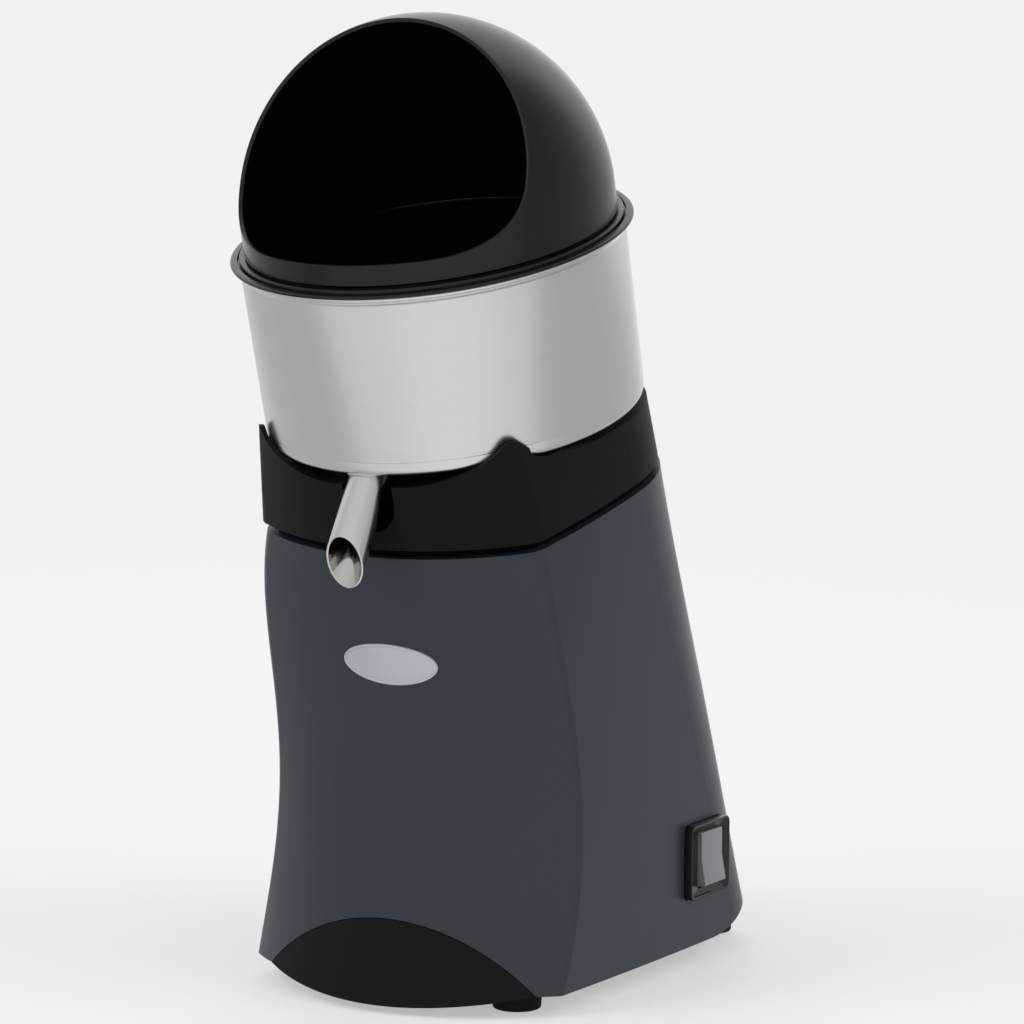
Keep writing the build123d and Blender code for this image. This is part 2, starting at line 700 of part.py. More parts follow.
toe_screws = screw_solids(BELOW, [(x, -y) for x, y in TOE_SCREWS], 2.0, PLATE + TOE_SHELF, 4.0, 2.4)
toe_screws.label = "toe_screws"
export_step(toe_screws, "parts/toe_screws.step")

# Rubber feet: one at each corner of the plate
for side, foot_x in (("left", -FOOT_X), ("right", FOOT_X)):
    for end, foot_y in (("front", FEET_Y - FOOT_Y), ("rear", FEET_Y + FOOT_Y)):
        with BuildPart() as foot:
            with BuildSketch(Plane((foot_x, foot_y, SHELL_LOW))):
                Circle(FOOT_R)
            extrude(amount=-SHELL_LOW, taper=3)
            fillet(foot.edges().group_by(Axis.Z)[0], 1.2)
            with BuildSketch(Plane((foot_x, foot_y, 0))):
                Circle(5.2)
            extrude(amount=5.0, mode=Mode.SUBTRACT)
            with BuildSketch(Plane((foot_x, foot_y, 0))):
                Circle(FOOT_SCREW_R + 0.1)
            extrude(amount=SHELL_LOW, mode=Mode.SUBTRACT)
        foot.part.label = f"foot_{end}_{side}"
        export_step(foot.part, f"parts/foot_{end}_{side}.step")

foot_screws = screw_solids(
    Plane((0, FEET_Y, 5.0), x_dir=(1, 0, 0), z_dir=(0, 0, -1)),
    [(x, y) for x in (-FOOT_X, FOOT_X) for y in (-FOOT_Y, FOOT_Y)],
    FOOT_SCREW_R,
    14.0,
    4.8,
    3.0,
)
foot_screws.label = "foot_screws"
export_step(foot_screws, "parts/foot_screws.step")

# Drive shaft with the cross pin's hole
with BuildPart() as drive_shaft:
    revolve(
        turned_face(
            (0, SHAFT_LOW),
            (SHAFT_R, SHAFT_LOW),
            (SHAFT_R, SHAFT_TOP - 1.5),
            (SHAFT_R - 1.5, SHAFT_TOP),
            (0, SHAFT_TOP),
        ),
        axis=HEAD_AXIS,
    )
    with BuildSketch(Plane(HEAD.offset(PIN_HEIGHT).origin, x_dir=HEAD.y_dir, z_dir=HEAD.x_dir)):
        Circle(PIN_R)
    extrude(amount=20, both=True, mode=Mode.SUBTRACT)
drive_shaft.part.label = "drive_shaft"
export_step(drive_shaft.part, "parts/drive_shaft.step")

with BuildPart() as drive_pin:
    with BuildSketch(Plane(HEAD.offset(PIN_HEIGHT).origin, x_dir=HEAD.y_dir, z_dir=HEAD.x_dir)):
        Circle(PIN_R)
    extrude(amount=PIN_HALF, both=True)
drive_pin.part.label = "drive_pin"
export_step(drive_pin.part, "parts/drive_pin.step")

with BuildPart() as shaft_seal:
    revolve(band(SHAFT_R + RUN_CLEAR, 16.0, POCKET_FLOOR - 9, POCKET_FLOOR - 2), axis=HEAD_AXIS)
shaft_seal.part.label = "shaft_seal"
export_step(shaft_seal.part, "parts/shaft_seal.step")

# Motor plate and its screws, under the deck
MOTOR_TOP = STACK_TOP + BELL_HEIGHT
with BuildPart() as motor_plate:
    revolve(band(12.0, 66.0, MOTOR_TOP, SHELL_TOP - DECK), axis=HEAD_AXIS)
    with BuildSketch(HEAD.offset(MOTOR_TOP)):
        with PolarLocations(62.0, 4, start_angle=45):
            Circle(2.2)
        with PolarLocations(MOTOR_BOLT_RING, 4):
            Circle(2.5)
    extrude(amount=SHELL_TOP - DECK - MOTOR_TOP, mode=Mode.SUBTRACT)
motor_plate.part.label = "motor_plate"
export_step(motor_plate.part, "parts/motor_plate.step")

UNDER_PLATE = Plane(HEAD.offset(MOTOR_TOP).origin, x_dir=HEAD.x_dir, z_dir=-HEAD.z_dir)
plate_ring = 62.0 * cos(radians(45))
plate_screws = screw_solids(
    UNDER_PLATE,
    [(x, y) for x in (-plate_ring, plate_ring) for y in (-plate_ring, plate_ring)],
    2.0,
    SHELL_TOP - MOTOR_TOP - 0.5,
    3.2,
    2.4,
)
plate_screws.label = "plate_screws"
export_step(plate_screws, "parts/plate_screws.step")


def end_bell(outer_face, stack_face):
    """Motor end bell as a turned cup with a bearing pocket, from outer face to stack."""
    up = 1 if outer_face > stack_face else -1
    web = outer_face - up * 5.0
    boss = outer_face - up * (BEARING_WIDTH + 4.0)
    with BuildPart() as bell:
        revolve(
            turned_face(
                (SHAFT_R + 2.0, outer_face),
                (MOTOR_R, outer_face),
                (MOTOR_R, stack_face),
                (MOTOR_R - 4.0, stack_face),
                (MOTOR_R - 4.0, web),
                (BEARING_R + 4.0, web),
                (BEARING_R + 4.0, boss),
                (BEARING_R, boss),
                (BEARING_R, boss + up * BEARING_WIDTH),
                (SHAFT_R + 2.0, boss + up * BEARING_WIDTH),
            ),
            axis=HEAD_AXIS,
        )
        with BuildSketch(HEAD.offset(min(outer_face, stack_face))):
            with PolarLocations(MOTOR_BOLT_RING, 4):
                Circle(2.7)
        extrude(amount=BELL_HEIGHT, mode=Mode.SUBTRACT)
        with BuildSketch(HEAD.offset(min(outer_face, web))):
            with PolarLocations(36.0, 8, start_angle=22.5):
                Circle(6.0)
        extrude(amount=5.0, mode=Mode.SUBTRACT)
    return bell.part


MOTOR_LOW = STACK_LOW - BELL_HEIGHT
upper_end_bell = end_bell(MOTOR_TOP, STACK_TOP)
upper_end_bell.label = "upper_end_bell"
export_step(upper_end_bell, "parts/upper_end_bell.step")

lower_end_bell = end_bell(MOTOR_LOW, STACK_LOW)
lower_end_bell.label = "lower_end_bell"
export_step(lower_end_bell, "parts/lower_end_bell.step")

# Ball bearings in the end bells
BEARING_TOP = MOTOR_TOP - 4.0
with BuildPart() as upper_bearing:
    revolve(band(SHAFT_R + RUN_CLEAR, BEARING_R, BEARING_TOP - BEARING_WIDTH, BEARING_TOP), axis=HEAD_AXIS)
upper_bearing.part.label = "upper_bearing"
export_step(upper_bearing.part, "parts/upper_bearing.step")

BEARING_LOW = MOTOR_LOW + 4.0
with BuildPart() as lower_bearing:
    revolve(band(SHAFT_R + RUN_CLEAR, BEARING_R, BEARING_LOW, BEARING_LOW + BEARING_WIDTH), axis=HEAD_AXIS)
lower_bearing.part.label = "lower_bearing"
export_step(lower_bearing.part, "parts/lower_bearing.step")

# Stator stack, its end windings, and the rotor
with BuildPart() as stator_core:
    revolve(band(STATOR_BORE, MOTOR_R, STACK_LOW, STACK_TOP), axis=HEAD_AXIS)
    with BuildSketch(HEAD.offset(STACK_LOW)):
        with PolarLocations(MOTOR_BOLT_RING, 4):
            Circle(2.7)
    extrude(amount=STACK_TOP - STACK_LOW, mode=Mode.SUBTRACT)
stator_core.part.label = "stator_core"
export_step(stator_core.part, "parts/stator_core.step")

with BuildPart() as stator_windings:
    for low in (STACK_TOP, STACK_LOW - 12.0):
        revolve(band(37.0, 49.0, low, low + 12.0), axis=HEAD_AXIS)
stator_windings.part.label = "stator_windings"
export_step(stator_windings.part, "parts/stator_windings.step")

with BuildPart() as rotor:
    revolve(band(SHAFT_R, ROTOR_R, STACK_LOW, STACK_TOP), axis=HEAD_AXIS)
rotor.part.label = "rotor"
export_step(rotor.part, "parts/rotor.step")

# Cooling fan on the lower end of the shaft
FAN_TOP = MOTOR_LOW - 4.0
with BuildPart() as cooling_fan:
    revolve(band(SHAFT_R, 14.0, FAN_TOP - 13, FAN_TOP), axis=HEAD_AXIS)
    revolve(band(14.0, 50.0, FAN_TOP - 2, FAN_TOP), axis=HEAD_AXIS)
    with BuildSketch(HEAD.offset(FAN_TOP - 2)):
        with PolarLocations(32.0, 9):
            Rectangle(34, 2)
    extrude(amount=-11)
cooling_fan.part.label = "cooling_fan"
export_step(cooling_fan.part, "parts/cooling_fan.step")

# Long bolts through bells and stack
motor_bolts = screw_solids(
    Plane(HEAD.offset(MOTOR_LOW).origin, x_dir=HEAD.x_dir, z_dir=-HEAD.z_dir),
    [(MOTOR_BOLT_RING, 0), (-MOTOR_BOLT_RING, 0), (0, MOTOR_BOLT_RING), (0, -MOTOR_BOLT_RING)],
    2.4,
    MOTOR_TOP - MOTOR_LOW + 5,
    4.2,
    3.0,
)
motor_bolts.label = "motor_bolts"
export_step(motor_bolts, "parts/motor_bolts.step")

# Rocker switch: frame on the flat seat, housing through the wall, rocker on its pin
with BuildPart() as switch_frame:
    with BuildSketch(Plane.YZ.offset(SWITCH_SEAT)):
        with Locations((SWITCH_Y, SWITCH_Z)):
            RectangleRounded(FRAME_W, FRAME_H, 4)
    extrude(amount=FRAME_FACE - SWITCH_SEAT)
    chamfer(switch_frame.faces().sort_by(Axis.X)[-1].outer_wire().edges(), 2.0)
    with BuildSketch(Plane.YZ.offset(SWITCH_SEAT)):
        with Locations((SWITCH_Y, SWITCH_Z)):
            Rectangle(HOUSING_W + 0.4, HOUSING_H + 0.4)
    extrude(amount=HOUSING_FACE - SWITCH_SEAT, mode=Mode.SUBTRACT)
    with BuildSketch(Plane.YZ.offset(SWITCH_SEAT)):
        with Locations((SWITCH_Y, SWITCH_Z)):
            Rectangle(HOUSING_W - 2 * LINER, HOUSING_H - 2 * LINER)
    extrude(amount=20, mode=Mode.SUBTRACT)
switch_frame.part.label = "switch_frame"
export_step(switch_frame.part, "parts/switch_frame.step")

with BuildPart() as switch_housing:
    with BuildSketch(Plane.YZ.offset(HOUSING_BACK)):
        with Locations((SWITCH_Y, SWITCH_Z)):
            Rectangle(HOUSING_W, HOUSING_H)
    extrude(amount=HOUSING_FACE - HOUSING_BACK)
    with BuildSketch(Plane.YZ.offset(HOUSING_BACK + 14)):
        with Locations((SWITCH_Y, SWITCH_Z)):
            Rectangle(HOUSING_W - 2 * LINER, HOUSING_H - 2 * LINER)
    extrude(amount=30, mode=Mode.SUBTRACT)
    with BuildSketch(Plane((ROCKER_PIVOT, SWITCH_Y, SWITCH_Z), x_dir=(1, 0, 0), z_dir=(0, -1, 0))):
        Circle(ROCKER_PIN_R)
    extrude(amount=HOUSING_W, both=True, mode=Mode.SUBTRACT)
    with BuildSketch(Plane.YZ.offset(HOUSING_BACK)):
        with Locations((SWITCH_Y, SWITCH_Z)):
            with GridLocations(0, 9, 1, 3):
                Rectangle(6.3, 0.8)
    extrude(amount=-8)
switch_housing.part.label = "switch_housing"
export_step(switch_housing.part, "parts/switch_housing.step")

throw = radians(ROCKER_THROW)
ROCKER = Plane(
    (ROCKER_PIVOT, SWITCH_Y, SWITCH_Z),
    x_dir=(cos(throw), 0, sin(throw)),
    z_dir=(0, -1, 0),
)
with BuildPart() as switch_rocker:
    with BuildSketch(ROCKER):
        with BuildLine():
            Polyline(
                (-5.0, -5.0),
                (4.0, -ROCKER_HALF),
                (ROCKER_RISE, -ROCKER_HALF + 0.6),
                (ROCKER_RISE - ROCKER_DIP, 0),
                (ROCKER_RISE, ROCKER_HALF - 0.6),
                (4.0, ROCKER_HALF),
                (-5.0, 5.0),
                close=True,
            )
        make_face()
    extrude(amount=ROCKER_W / 2, both=True)
    fillet(switch_rocker.edges().filter_by(Axis.Y).sort_by(Axis.X)[-3:], 1.0)
    with BuildSketch(ROCKER):
        Circle(ROCKER_PIN_R + RUN_CLEAR)
    extrude(amount=ROCKER_W, both=True, mode=Mode.SUBTRACT)
switch_rocker.part.label = "switch_rocker"
export_step(switch_rocker.part, "parts/switch_rocker.step")

with BuildPart() as switch_pin:
    with BuildSketch(ROCKER):
        Circle(ROCKER_PIN_R)
    extrude(amount=HOUSING_W / 2, both=True)
switch_pin.part.label = "switch_pin"
export_step(switch_pin.part, "parts/switch_pin.step")

# Capacitor in its clip, and the terminal block, on the base plate
CAPACITOR_PLACE = Plane((-40.0, 95.0, PLATE_TOP))
with BuildPart() as run_capacitor:
    with BuildSketch(CAPACITOR_PLACE):
        Circle(18.0)
    extrude(amount=62)
    fillet(run_capacitor.edges().group_by(Axis.Z)[-1], 2.5)
    with BuildSketch(CAPACITOR_PLACE.offset(62)):
        with GridLocations(16, 0, 2, 1):
            Rectangle(0.8, 6.3)
    extrude(amount=8)
run_capacitor.part.label = "run_capacitor"
export_step(run_capacitor.part, "parts/run_capacitor.step")

with BuildPart() as capacitor_clip:
    with BuildSketch(CAPACITOR_PLACE.offset(6)):
        Circle(19.5)
        Circle(18.0, mode=Mode.SUBTRACT)
    extrude(amount=12)
    with BuildSketch(CAPACITOR_PLACE):
        with GridLocations(48, 0, 2, 1):
            Rectangle(12, 12)
        Circle(18.0, mode=Mode.SUBTRACT)
    extrude(amount=1.5)
    with BuildSketch(CAPACITOR_PLACE):
        with GridLocations(38.6, 0, 2, 1):
            Rectangle(1.6, 12)
        Circle(18.0, mode=Mode.SUBTRACT)
    extrude(amount=12)
capacitor_clip.part.label = "capacitor_clip"
export_step(capacitor_clip.part, "parts/capacitor_clip.step")

with BuildPart() as terminal_block:
    with BuildSketch(Plane((26.0, 103.0, PLATE_TOP))):
        Rectangle(42, 18)
    extrude(amount=16)
    with BuildSketch(Plane((26.0, 103.0, PLATE_TOP + 16))):
        with GridLocations(13, 9, 3, 2):
            Circle(2.6)
    extrude(amount=-7, mode=Mode.SUBTRACT)
terminal_block.part.label = "terminal_block"
export_step(terminal_block.part, "parts/terminal_block.step")

# Cable gland at the back, and the nut that holds it inside
GLAND = Plane((GLAND_X, GLAND_SEAT, GLAND_Z), x_dir=(1, 0, 0), z_dir=(0, 1, 0))
with BuildPart() as cable_gland:
    with BuildSketch(GLAND):
        RegularPolygon(11.5, 6)
    extrude(amount=6)
    with BuildSketch(GLAND.offset(6)):
        Circle(9.5)
    extrude(amount=9, taper=8)
    with BuildSketch(GLAND):
        Circle(7.9)
    extrude(amount=-13)
    with BuildSketch(GLAND.offset(20)):
        Circle(4.0)
    extrude(amount=-40, mode=Mode.SUBTRACT)
cable_gland.part.label = "cable_gland"
export_step(cable_gland.part, "parts/cable_gland.step")

with BuildPart() as gland_nut:
    with BuildSketch(GLAND.offset(-5)):
        RegularPolygon(11.5, 6)
        Circle(7.9, mode=Mode.SUBTRACT)
    extrude(amount=-5)
gland_nut.part.label = "gland_nut"
export_step(gland_nut.part, "parts/gland_nut.step")
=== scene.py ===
"""Electric citrus press with a splash dome: finishes, fine pieces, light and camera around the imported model.

The scene is in metres, in the model's own frame: the front looks along -Y, the switch is on +X.
Sizes of the fine pieces are written in millimetres and brought in with MM.
Dome, ring, bowl and spout are drawn upright round the head axis and then leaned with it.
"""

import math

import bpy
from mathutils import Matrix, Vector


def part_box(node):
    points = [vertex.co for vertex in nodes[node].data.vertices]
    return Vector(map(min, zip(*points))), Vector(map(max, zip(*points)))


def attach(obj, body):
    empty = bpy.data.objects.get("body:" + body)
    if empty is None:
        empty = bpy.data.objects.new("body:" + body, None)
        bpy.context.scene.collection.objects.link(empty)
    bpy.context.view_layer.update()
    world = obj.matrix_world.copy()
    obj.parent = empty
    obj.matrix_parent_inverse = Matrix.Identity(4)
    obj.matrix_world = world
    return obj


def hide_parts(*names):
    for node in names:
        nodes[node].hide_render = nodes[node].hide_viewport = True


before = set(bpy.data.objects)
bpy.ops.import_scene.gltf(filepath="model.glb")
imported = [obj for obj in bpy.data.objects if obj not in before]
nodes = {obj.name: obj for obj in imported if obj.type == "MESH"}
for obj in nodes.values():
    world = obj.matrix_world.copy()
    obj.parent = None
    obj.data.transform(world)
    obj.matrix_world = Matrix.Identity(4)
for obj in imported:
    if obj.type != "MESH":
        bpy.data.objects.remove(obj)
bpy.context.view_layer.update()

MM = 0.001

# Head axis: the underside of the rim's lip, and how far the head leans forwards
RIM = Vector((0.0, -54.2, 377.1)) * MM
HEAD_LEAN = math.radians(15.0)
HEAD = Matrix.Translation(RIM) @ Matrix.Rotation(HEAD_LEAN, 4, "X")
HEAD_UP = HEAD.to_3x3() @ Vector((0.0, 0.0, 1.0))


# Camera

CAMERA_AZIMUTH = math.radians(30.5406)
CAMERA_ELEVATION = math.radians(7.0557)
CAMERA_ROLL = math.radians(0.3063)
CAMERA_PLACE = Vector((1.0694, -1.78788, 0.49263))
CAMERA_LENS = 145.58
CAMERA_SENSOR = 36.0
CAMERA_NEAR, CAMERA_FAR = 0.05, 50.0


def place_camera():
    """The photograph's viewpoint."""
    back = Vector((
        math.sin(CAMERA_AZIMUTH) * math.cos(CAMERA_ELEVATION),
        -math.cos(CAMERA_AZIMUTH) * math.cos(CAMERA_ELEVATION),
        math.sin(CAMERA_ELEVATION),
    ))
    level = Vector((math.cos(CAMERA_AZIMUTH), math.sin(CAMERA_AZIMUTH), 0.0))
    right = level * math.cos(CAMERA_ROLL) + back.cross(level) * math.sin(CAMERA_ROLL)
    up = back.cross(right)
    turn = Matrix((right, up, back)).transposed()
    lens = bpy.data.cameras.new("camera")
    lens.sensor_width = CAMERA_SENSOR
    lens.lens = CAMERA_LENS
    lens.clip_start, lens.clip_end = CAMERA_NEAR, CAMERA_FAR
    camera = bpy.data.objects.new("camera", lens)
    bpy.context.scene.collection.objects.link(camera)
    camera.matrix_world = Matrix.Translation(CAMERA_PLACE) @ turn.to_4x4()
    bpy.context.scene.camera = camera


place_camera()


# Node helpers

def link(tree, source, socket):
    tree.links.new(source, socket)


def add_node(tree, kind, settings=None, **values):
    """One node with its settings and the plain values of its inputs."""
    node = tree.nodes.new(kind)
    for name, value in (settings or {}).items():
        setattr(node, name, value)
    for name, value in values.items():
        node.inputs[name.replace("_", " ")].default_value = value
    return node


def math_node(tree, operation, first, second):
    """Math node on sockets or plain numbers; gives its output socket."""
    node = add_node(tree, "ShaderNodeMath", {"operation": operation})
    for socket, value in zip(node.inputs, (first, second)):
        if isinstance(value, (int, float)):
            socket.default_value = value
        else:
            link(tree, value, socket)
    return node.outputs[0]


def map_range(tree, value, low, high, to_low, to_high):
    """Linear change of range, clamped; gives its output socket."""
    node = add_node(tree, "ShaderNodeMapRange", From_Min=low, From_Max=high, To_Min=to_low, To_Max=to_high)
    link(tree, value, node.inputs["Value"])
    return node.outputs["Result"]


def tone_mix(tree, factor, colour, dark, light):
    """The colour from a darker to a lighter share of itself; gives its output socket."""
    mix = add_node(tree, "ShaderNodeMix", {"data_type": "RGBA"})
    for name, share in (("A", dark), ("B", light)):
        mix.inputs[name].default_value = (*[min(1.0, part * share) for part in colour], 1.0)
    link(tree, factor, mix.inputs["Factor"])
    return mix.outputs["Result"]


def add_bump(tree, height, depth, shader):
    """Bump of this depth, in metres, on the shader."""
    bump = add_node(tree, "ShaderNodeBump", Strength=1.0, Distance=depth)
    link(tree, height, bump.inputs["Height"])
    link(tree, bump.outputs["Normal"], shader.inputs["Normal"])


def new_group(name, inputs, outputs):
    """Empty shader node group with named sockets: gives the tree, its input node and its output node."""
    tree = bpy.data.node_groups.new(name, "ShaderNodeTree")
    for socket, kind, value in inputs:
        made = tree.interface.new_socket(socket, in_out="INPUT", socket_type=kind)
        if value is not None:
            made.default_value = value
    for socket, kind in outputs:
        tree.interface.new_socket(socket, in_out="OUTPUT", socket_type=kind)
    return tree, tree.nodes.new("NodeGroupInput"), tree.nodes.new("NodeGroupOutput")


# Shared effects

BRUSH_STRETCH = 30.0  # noise per metre along the brush lines
BRUSH_DRIFT = 22.0  # slow patches per metre


def moulded_grain():
    """Fine pits of a moulded or painted skin, and a slow drift in how dull it is."""
    tree, given, made = new_group(
        "moulded_grain",
        [("Vector", "NodeSocketVector", None), ("Pits per metre", "NodeSocketFloat", 900.0),
         ("Drift per metre", "NodeSocketFloat", 14.0)],
        [("Height", "NodeSocketFloat"), ("Drift", "NodeSocketFloat")],
    )
    pits = add_node(tree, "ShaderNodeTexNoise", Detail=3.0, Roughness=0.6)
    drift = add_node(tree, "ShaderNodeTexNoise", Detail=2.0, Roughness=0.5)
    for noise, scale, result in ((pits, "Pits per metre", "Height"), (drift, "Drift per metre", "Drift")):
        link(tree, given.outputs["Vector"], noise.inputs["Vector"])
        link(tree, given.outputs[scale], noise.inputs["Scale"])
        link(tree, noise.outputs["Fac"], made.inputs[result])
    return tree


def turned_brushing():
    """Brush lines that run round the head axis, with a slow drift along and across them."""
    tree, given, made = new_group(
        "turned_brushing",
        [("Vector", "NodeSocketVector", None), ("Lines per metre", "NodeSocketFloat", 2600.0)],
        [("Lines", "NodeSocketFloat"), ("Drift", "NodeSocketFloat")],
    )
    from_rim = -(Matrix.Rotation(-HEAD_LEAN, 3, "X") @ RIM)
    upright = add_node(tree, "ShaderNodeMapping", {"vector_type": "POINT"},
                       Location=from_rim, Rotation=(-HEAD_LEAN, 0.0, 0.0))
    link(tree, given.outputs["Vector"], upright.inputs["Vector"])
    parts = add_node(tree, "ShaderNodeSeparateXYZ")
    link(tree, upright.outputs["Vector"], parts.inputs["Vector"])
    along = add_node(tree, "ShaderNodeCombineXYZ")
    stretches = (("X", BRUSH_STRETCH), ("Y", BRUSH_STRETCH), ("Z", given.outputs["Lines per metre"]))
    for axis, stretch in stretches:
        link(tree, math_node(tree, "MULTIPLY", parts.outputs[axis], stretch), along.inputs[axis])
    lines = add_node(tree, "ShaderNodeTexNoise", Scale=1.0, Detail=4.0, Roughness=0.65)
    link(tree, along.outputs["Vector"], lines.inputs["Vector"])
    drift = add_node(tree, "ShaderNodeTexNoise", Scale=BRUSH_DRIFT, Detail=3.0, Roughness=0.55)
    link(tree, upright.outputs["Vector"], drift.inputs["Vector"])
    link(tree, lines.outputs["Fac"], made.inputs["Lines"])
    link(tree, drift.outputs["Fac"], made.inputs["Drift"])
    return tree


GRAIN = moulded_grain()
BRUSHING = turned_brushing()


# Finishes

GRAIN_SPAN = (0.3, 0.7)  # part of the drift noise that takes the roughness from end to end
BRUSH_SPAN = (0.1, 0.9)
BRUSH_TONES = (0.93, 1.05)
BRUSH_DULLNESS = 0.01


def new_finish(name):
    """Empty node material: gives the material, its tree and its Principled shader."""
    material = bpy.data.materials.new(name)
    material.use_nodes = True
    tree = material.node_tree
    shader = tree.nodes["Principled BSDF"]
    return material, tree, shader


def set_plain(shader, **values):
    for name, value in values.items():
        shader.inputs[name.replace("_", " ")].default_value = value


def grained(name, colour, roughness, specular, pits, depth, drift=0.1, tone=0.12, **extra):
    """Moulded plastic, rubber, paint or plain metal: pits in the bump, a drift in colour and dullness.

    Pits are counted per metre and their depth is in metres.
    Drift and tone are how far roughness and colour wander.
    """
    material, tree, shader = new_finish(name)
    set_plain(shader, Specular_IOR_Level=specular, **extra)
    place = add_node(tree, "ShaderNodeTexCoord")
    grain = add_node(tree, "ShaderNodeGroup", {"node_tree": GRAIN}, Pits_per_metre=pits)
    link(tree, place.outputs["Object"], grain.inputs["Vector"])
    wander = grain.outputs["Drift"]
    link(tree, tone_mix(tree, wander, colour, 1 - tone, 1 + tone), shader.inputs["Base Color"])
    dullness = map_range(tree, wander, *GRAIN_SPAN, roughness - drift / 2, roughness + drift / 2)
    link(tree, dullness, shader.inputs["Roughness"])
    add_bump(tree, grain.outputs["Height"], depth, shader)
    return material


def brushed(name, colour, roughness, lines, depth, anisotropic):
    """Brushed metal whose lines run round the head axis, so that lights stretch across them."""
    material, tree, shader = new_finish(name)
    set_plain(shader, Metallic=1.0, Anisotropic=anisotropic)
    place = add_node(tree, "ShaderNodeTexCoord")
    brush = add_node(tree, "ShaderNodeGroup", {"node_tree": BRUSHING}, Lines_per_metre=lines)
    link(tree, place.outputs["Object"], brush.inputs["Vector"])
    link(tree, tone_mix(tree, brush.outputs["Lines"], colour, *BRUSH_TONES), shader.inputs["Base Color"])
    dullness = map_range(tree, brush.outputs["Drift"], *BRUSH_SPAN,
                         roughness - BRUSH_DULLNESS, roughness + BRUSH_DULLNESS)
    link(tree, dullness, shader.inputs["Roughness"])
    from_rim = add_node(tree, "ShaderNodeVectorMath", {"operation": "SUBTRACT"})
    link(tree, place.outputs["Object"], from_rim.inputs[0])
    from_rim.inputs[1].default_value = RIM
    round_axis = add_node(tree, "ShaderNodeVectorMath", {"operation": "CROSS_PRODUCT"})
    round_axis.inputs[0].default_value = HEAD_UP
    link(tree, from_rim.outputs["Vector"], round_axis.inputs[1])
    surface = add_node(tree, "ShaderNodeNewGeometry")
    across = add_node(tree, "ShaderNodeVectorMath", {"operation": "CROSS_PRODUCT"})
    link(tree, surface.outputs["Normal"], across.inputs[0])
    link(tree, round_axis.outputs["Vector"], across.inputs[1])
    link(tree, across.outputs["Vector"], shader.inputs["Tangent"])
    add_bump(tree, brush.outputs["Lines"], depth, shader)
    return material


# Name, colour, roughness, specular, pits per metre, depth of the pits
dome_plastic = grained("dome_plastic", (0.0040, 0.0038, 0.0052), 0.22, 0.32, 700, 0.00001)
ring_plastic = grained("ring_plastic", (0.0040, 0.0038, 0.0050), 0.24, 0.34, 700, 0.00001)
collar_plastic = grained("collar_plastic", (0.0045, 0.0045, 0.0050), 0.5, 0.10, 1500, 0.00004)
body_paint = grained("body_paint", (0.022, 0.0275, 0.0325), 0.36, 0.38, 1200, 0.00002)
toe_plastic = grained("toe_plastic", (0.0065, 0.0065, 0.0065), 0.6, 0.10, 1600, 0.00005)
rubber = grained("rubber", (0.006, 0.006, 0.006), 0.75, 0.15, 1400, 0.00005)
base_plastic = grained("base_plastic", (0.012, 0.012, 0.012), 0.55, 0.25, 1500, 0.00005)
reamer_plastic = grained("reamer_plastic", (0.010, 0.010, 0.011), 0.4, 0.3, 900, 0.00003)
# Strainer: near black and dull, its own dark plastic and also painted shade that keeps the inside of the bowl
# dark down the spout
basket_and_bowl_shade = grained("basket_and_bowl_shade", (0.0025, 0.0025, 0.0027), 0.6, 0.10, 1500, 0.00004)
# Inside of the dome: a darker, duller copy of the dome plastic, painted shade inside the dome
dome_inside_shade = grained("dome_inside_shade", (0.0025, 0.0025, 0.0027), 0.7, 0.06, 1500, 0.00004)
# Gasket: near black and duller than the rubber, its own black and also painted shade in the reveal between
# collar and body
gasket_and_reveal_shade = grained("gasket_and_reveal_shade", (0.0022, 0.0022, 0.0022), 0.8, 0.05, 1500, 0.00004)
switch_gloss = grained("switch_gloss", (0.003, 0.003, 0.003), 0.14, 0.45, 700, 0.00001, drift=0.04)
rocker_grey = grained("rocker_grey", (0.20, 0.20, 0.205), 0.18, 0.5, 700, 0.00001)
terminal_white = grained("terminal_white", (0.75, 0.73, 0.68), 0.5, 0.4, 900, 0.00003, tone=0.04)
badge_silver = grained("badge_silver", (0.52, 0.52, 0.53), 0.28, 0.5, 900, 0.00001, tone=0.04, Metallic=0.5)
winding = grained("winding", (0.45, 0.16, 0.06), 0.35, 0.5, 1500, 0.0003, Metallic=0.8)
lamination = grained("lamination", (0.18, 0.18, 0.19), 0.5, 0.5, 2500, 0.0001, Metallic=1.0)
cast_alloy = grained("cast_alloy", (0.52, 0.52, 0.53), 0.45, 0.5, 1100, 0.00015, Metallic=1.0)
zinc = grained("zinc", (0.58, 0.59, 0.60), 0.32, 0.5, 1300, 0.00003, Metallic=1.0)
shaft_steel = grained("shaft_steel", (0.62, 0.62, 0.63), 0.22, 0.5, 1300, 0.00001, Metallic=1.0)
spout_steel = grained("spout_steel", (0.64, 0.64, 0.63), 0.20, 0.5, 2200, 0.000012, tone=0.05, Metallic=1.0)
spout_inside = grained("spout_inside", (0.55, 0.55, 0.54), 0.10, 0.5, 2200, 0.000004, drift=0.02, tone=0.06,
                       Metallic=1.0)
weld_steel = grained("weld_steel", (0.60, 0.59, 0.57), 0.28, 0.5, 1500, 0.00008, tone=0.08, Metallic=1.0)

# Name, colour, roughness, brush lines per metre, depth of the lines, anisotropy
stainless = brushed("stainless", (0.66, 0.66, 0.645), 0.287, 2600, 0.000004, 0.2)

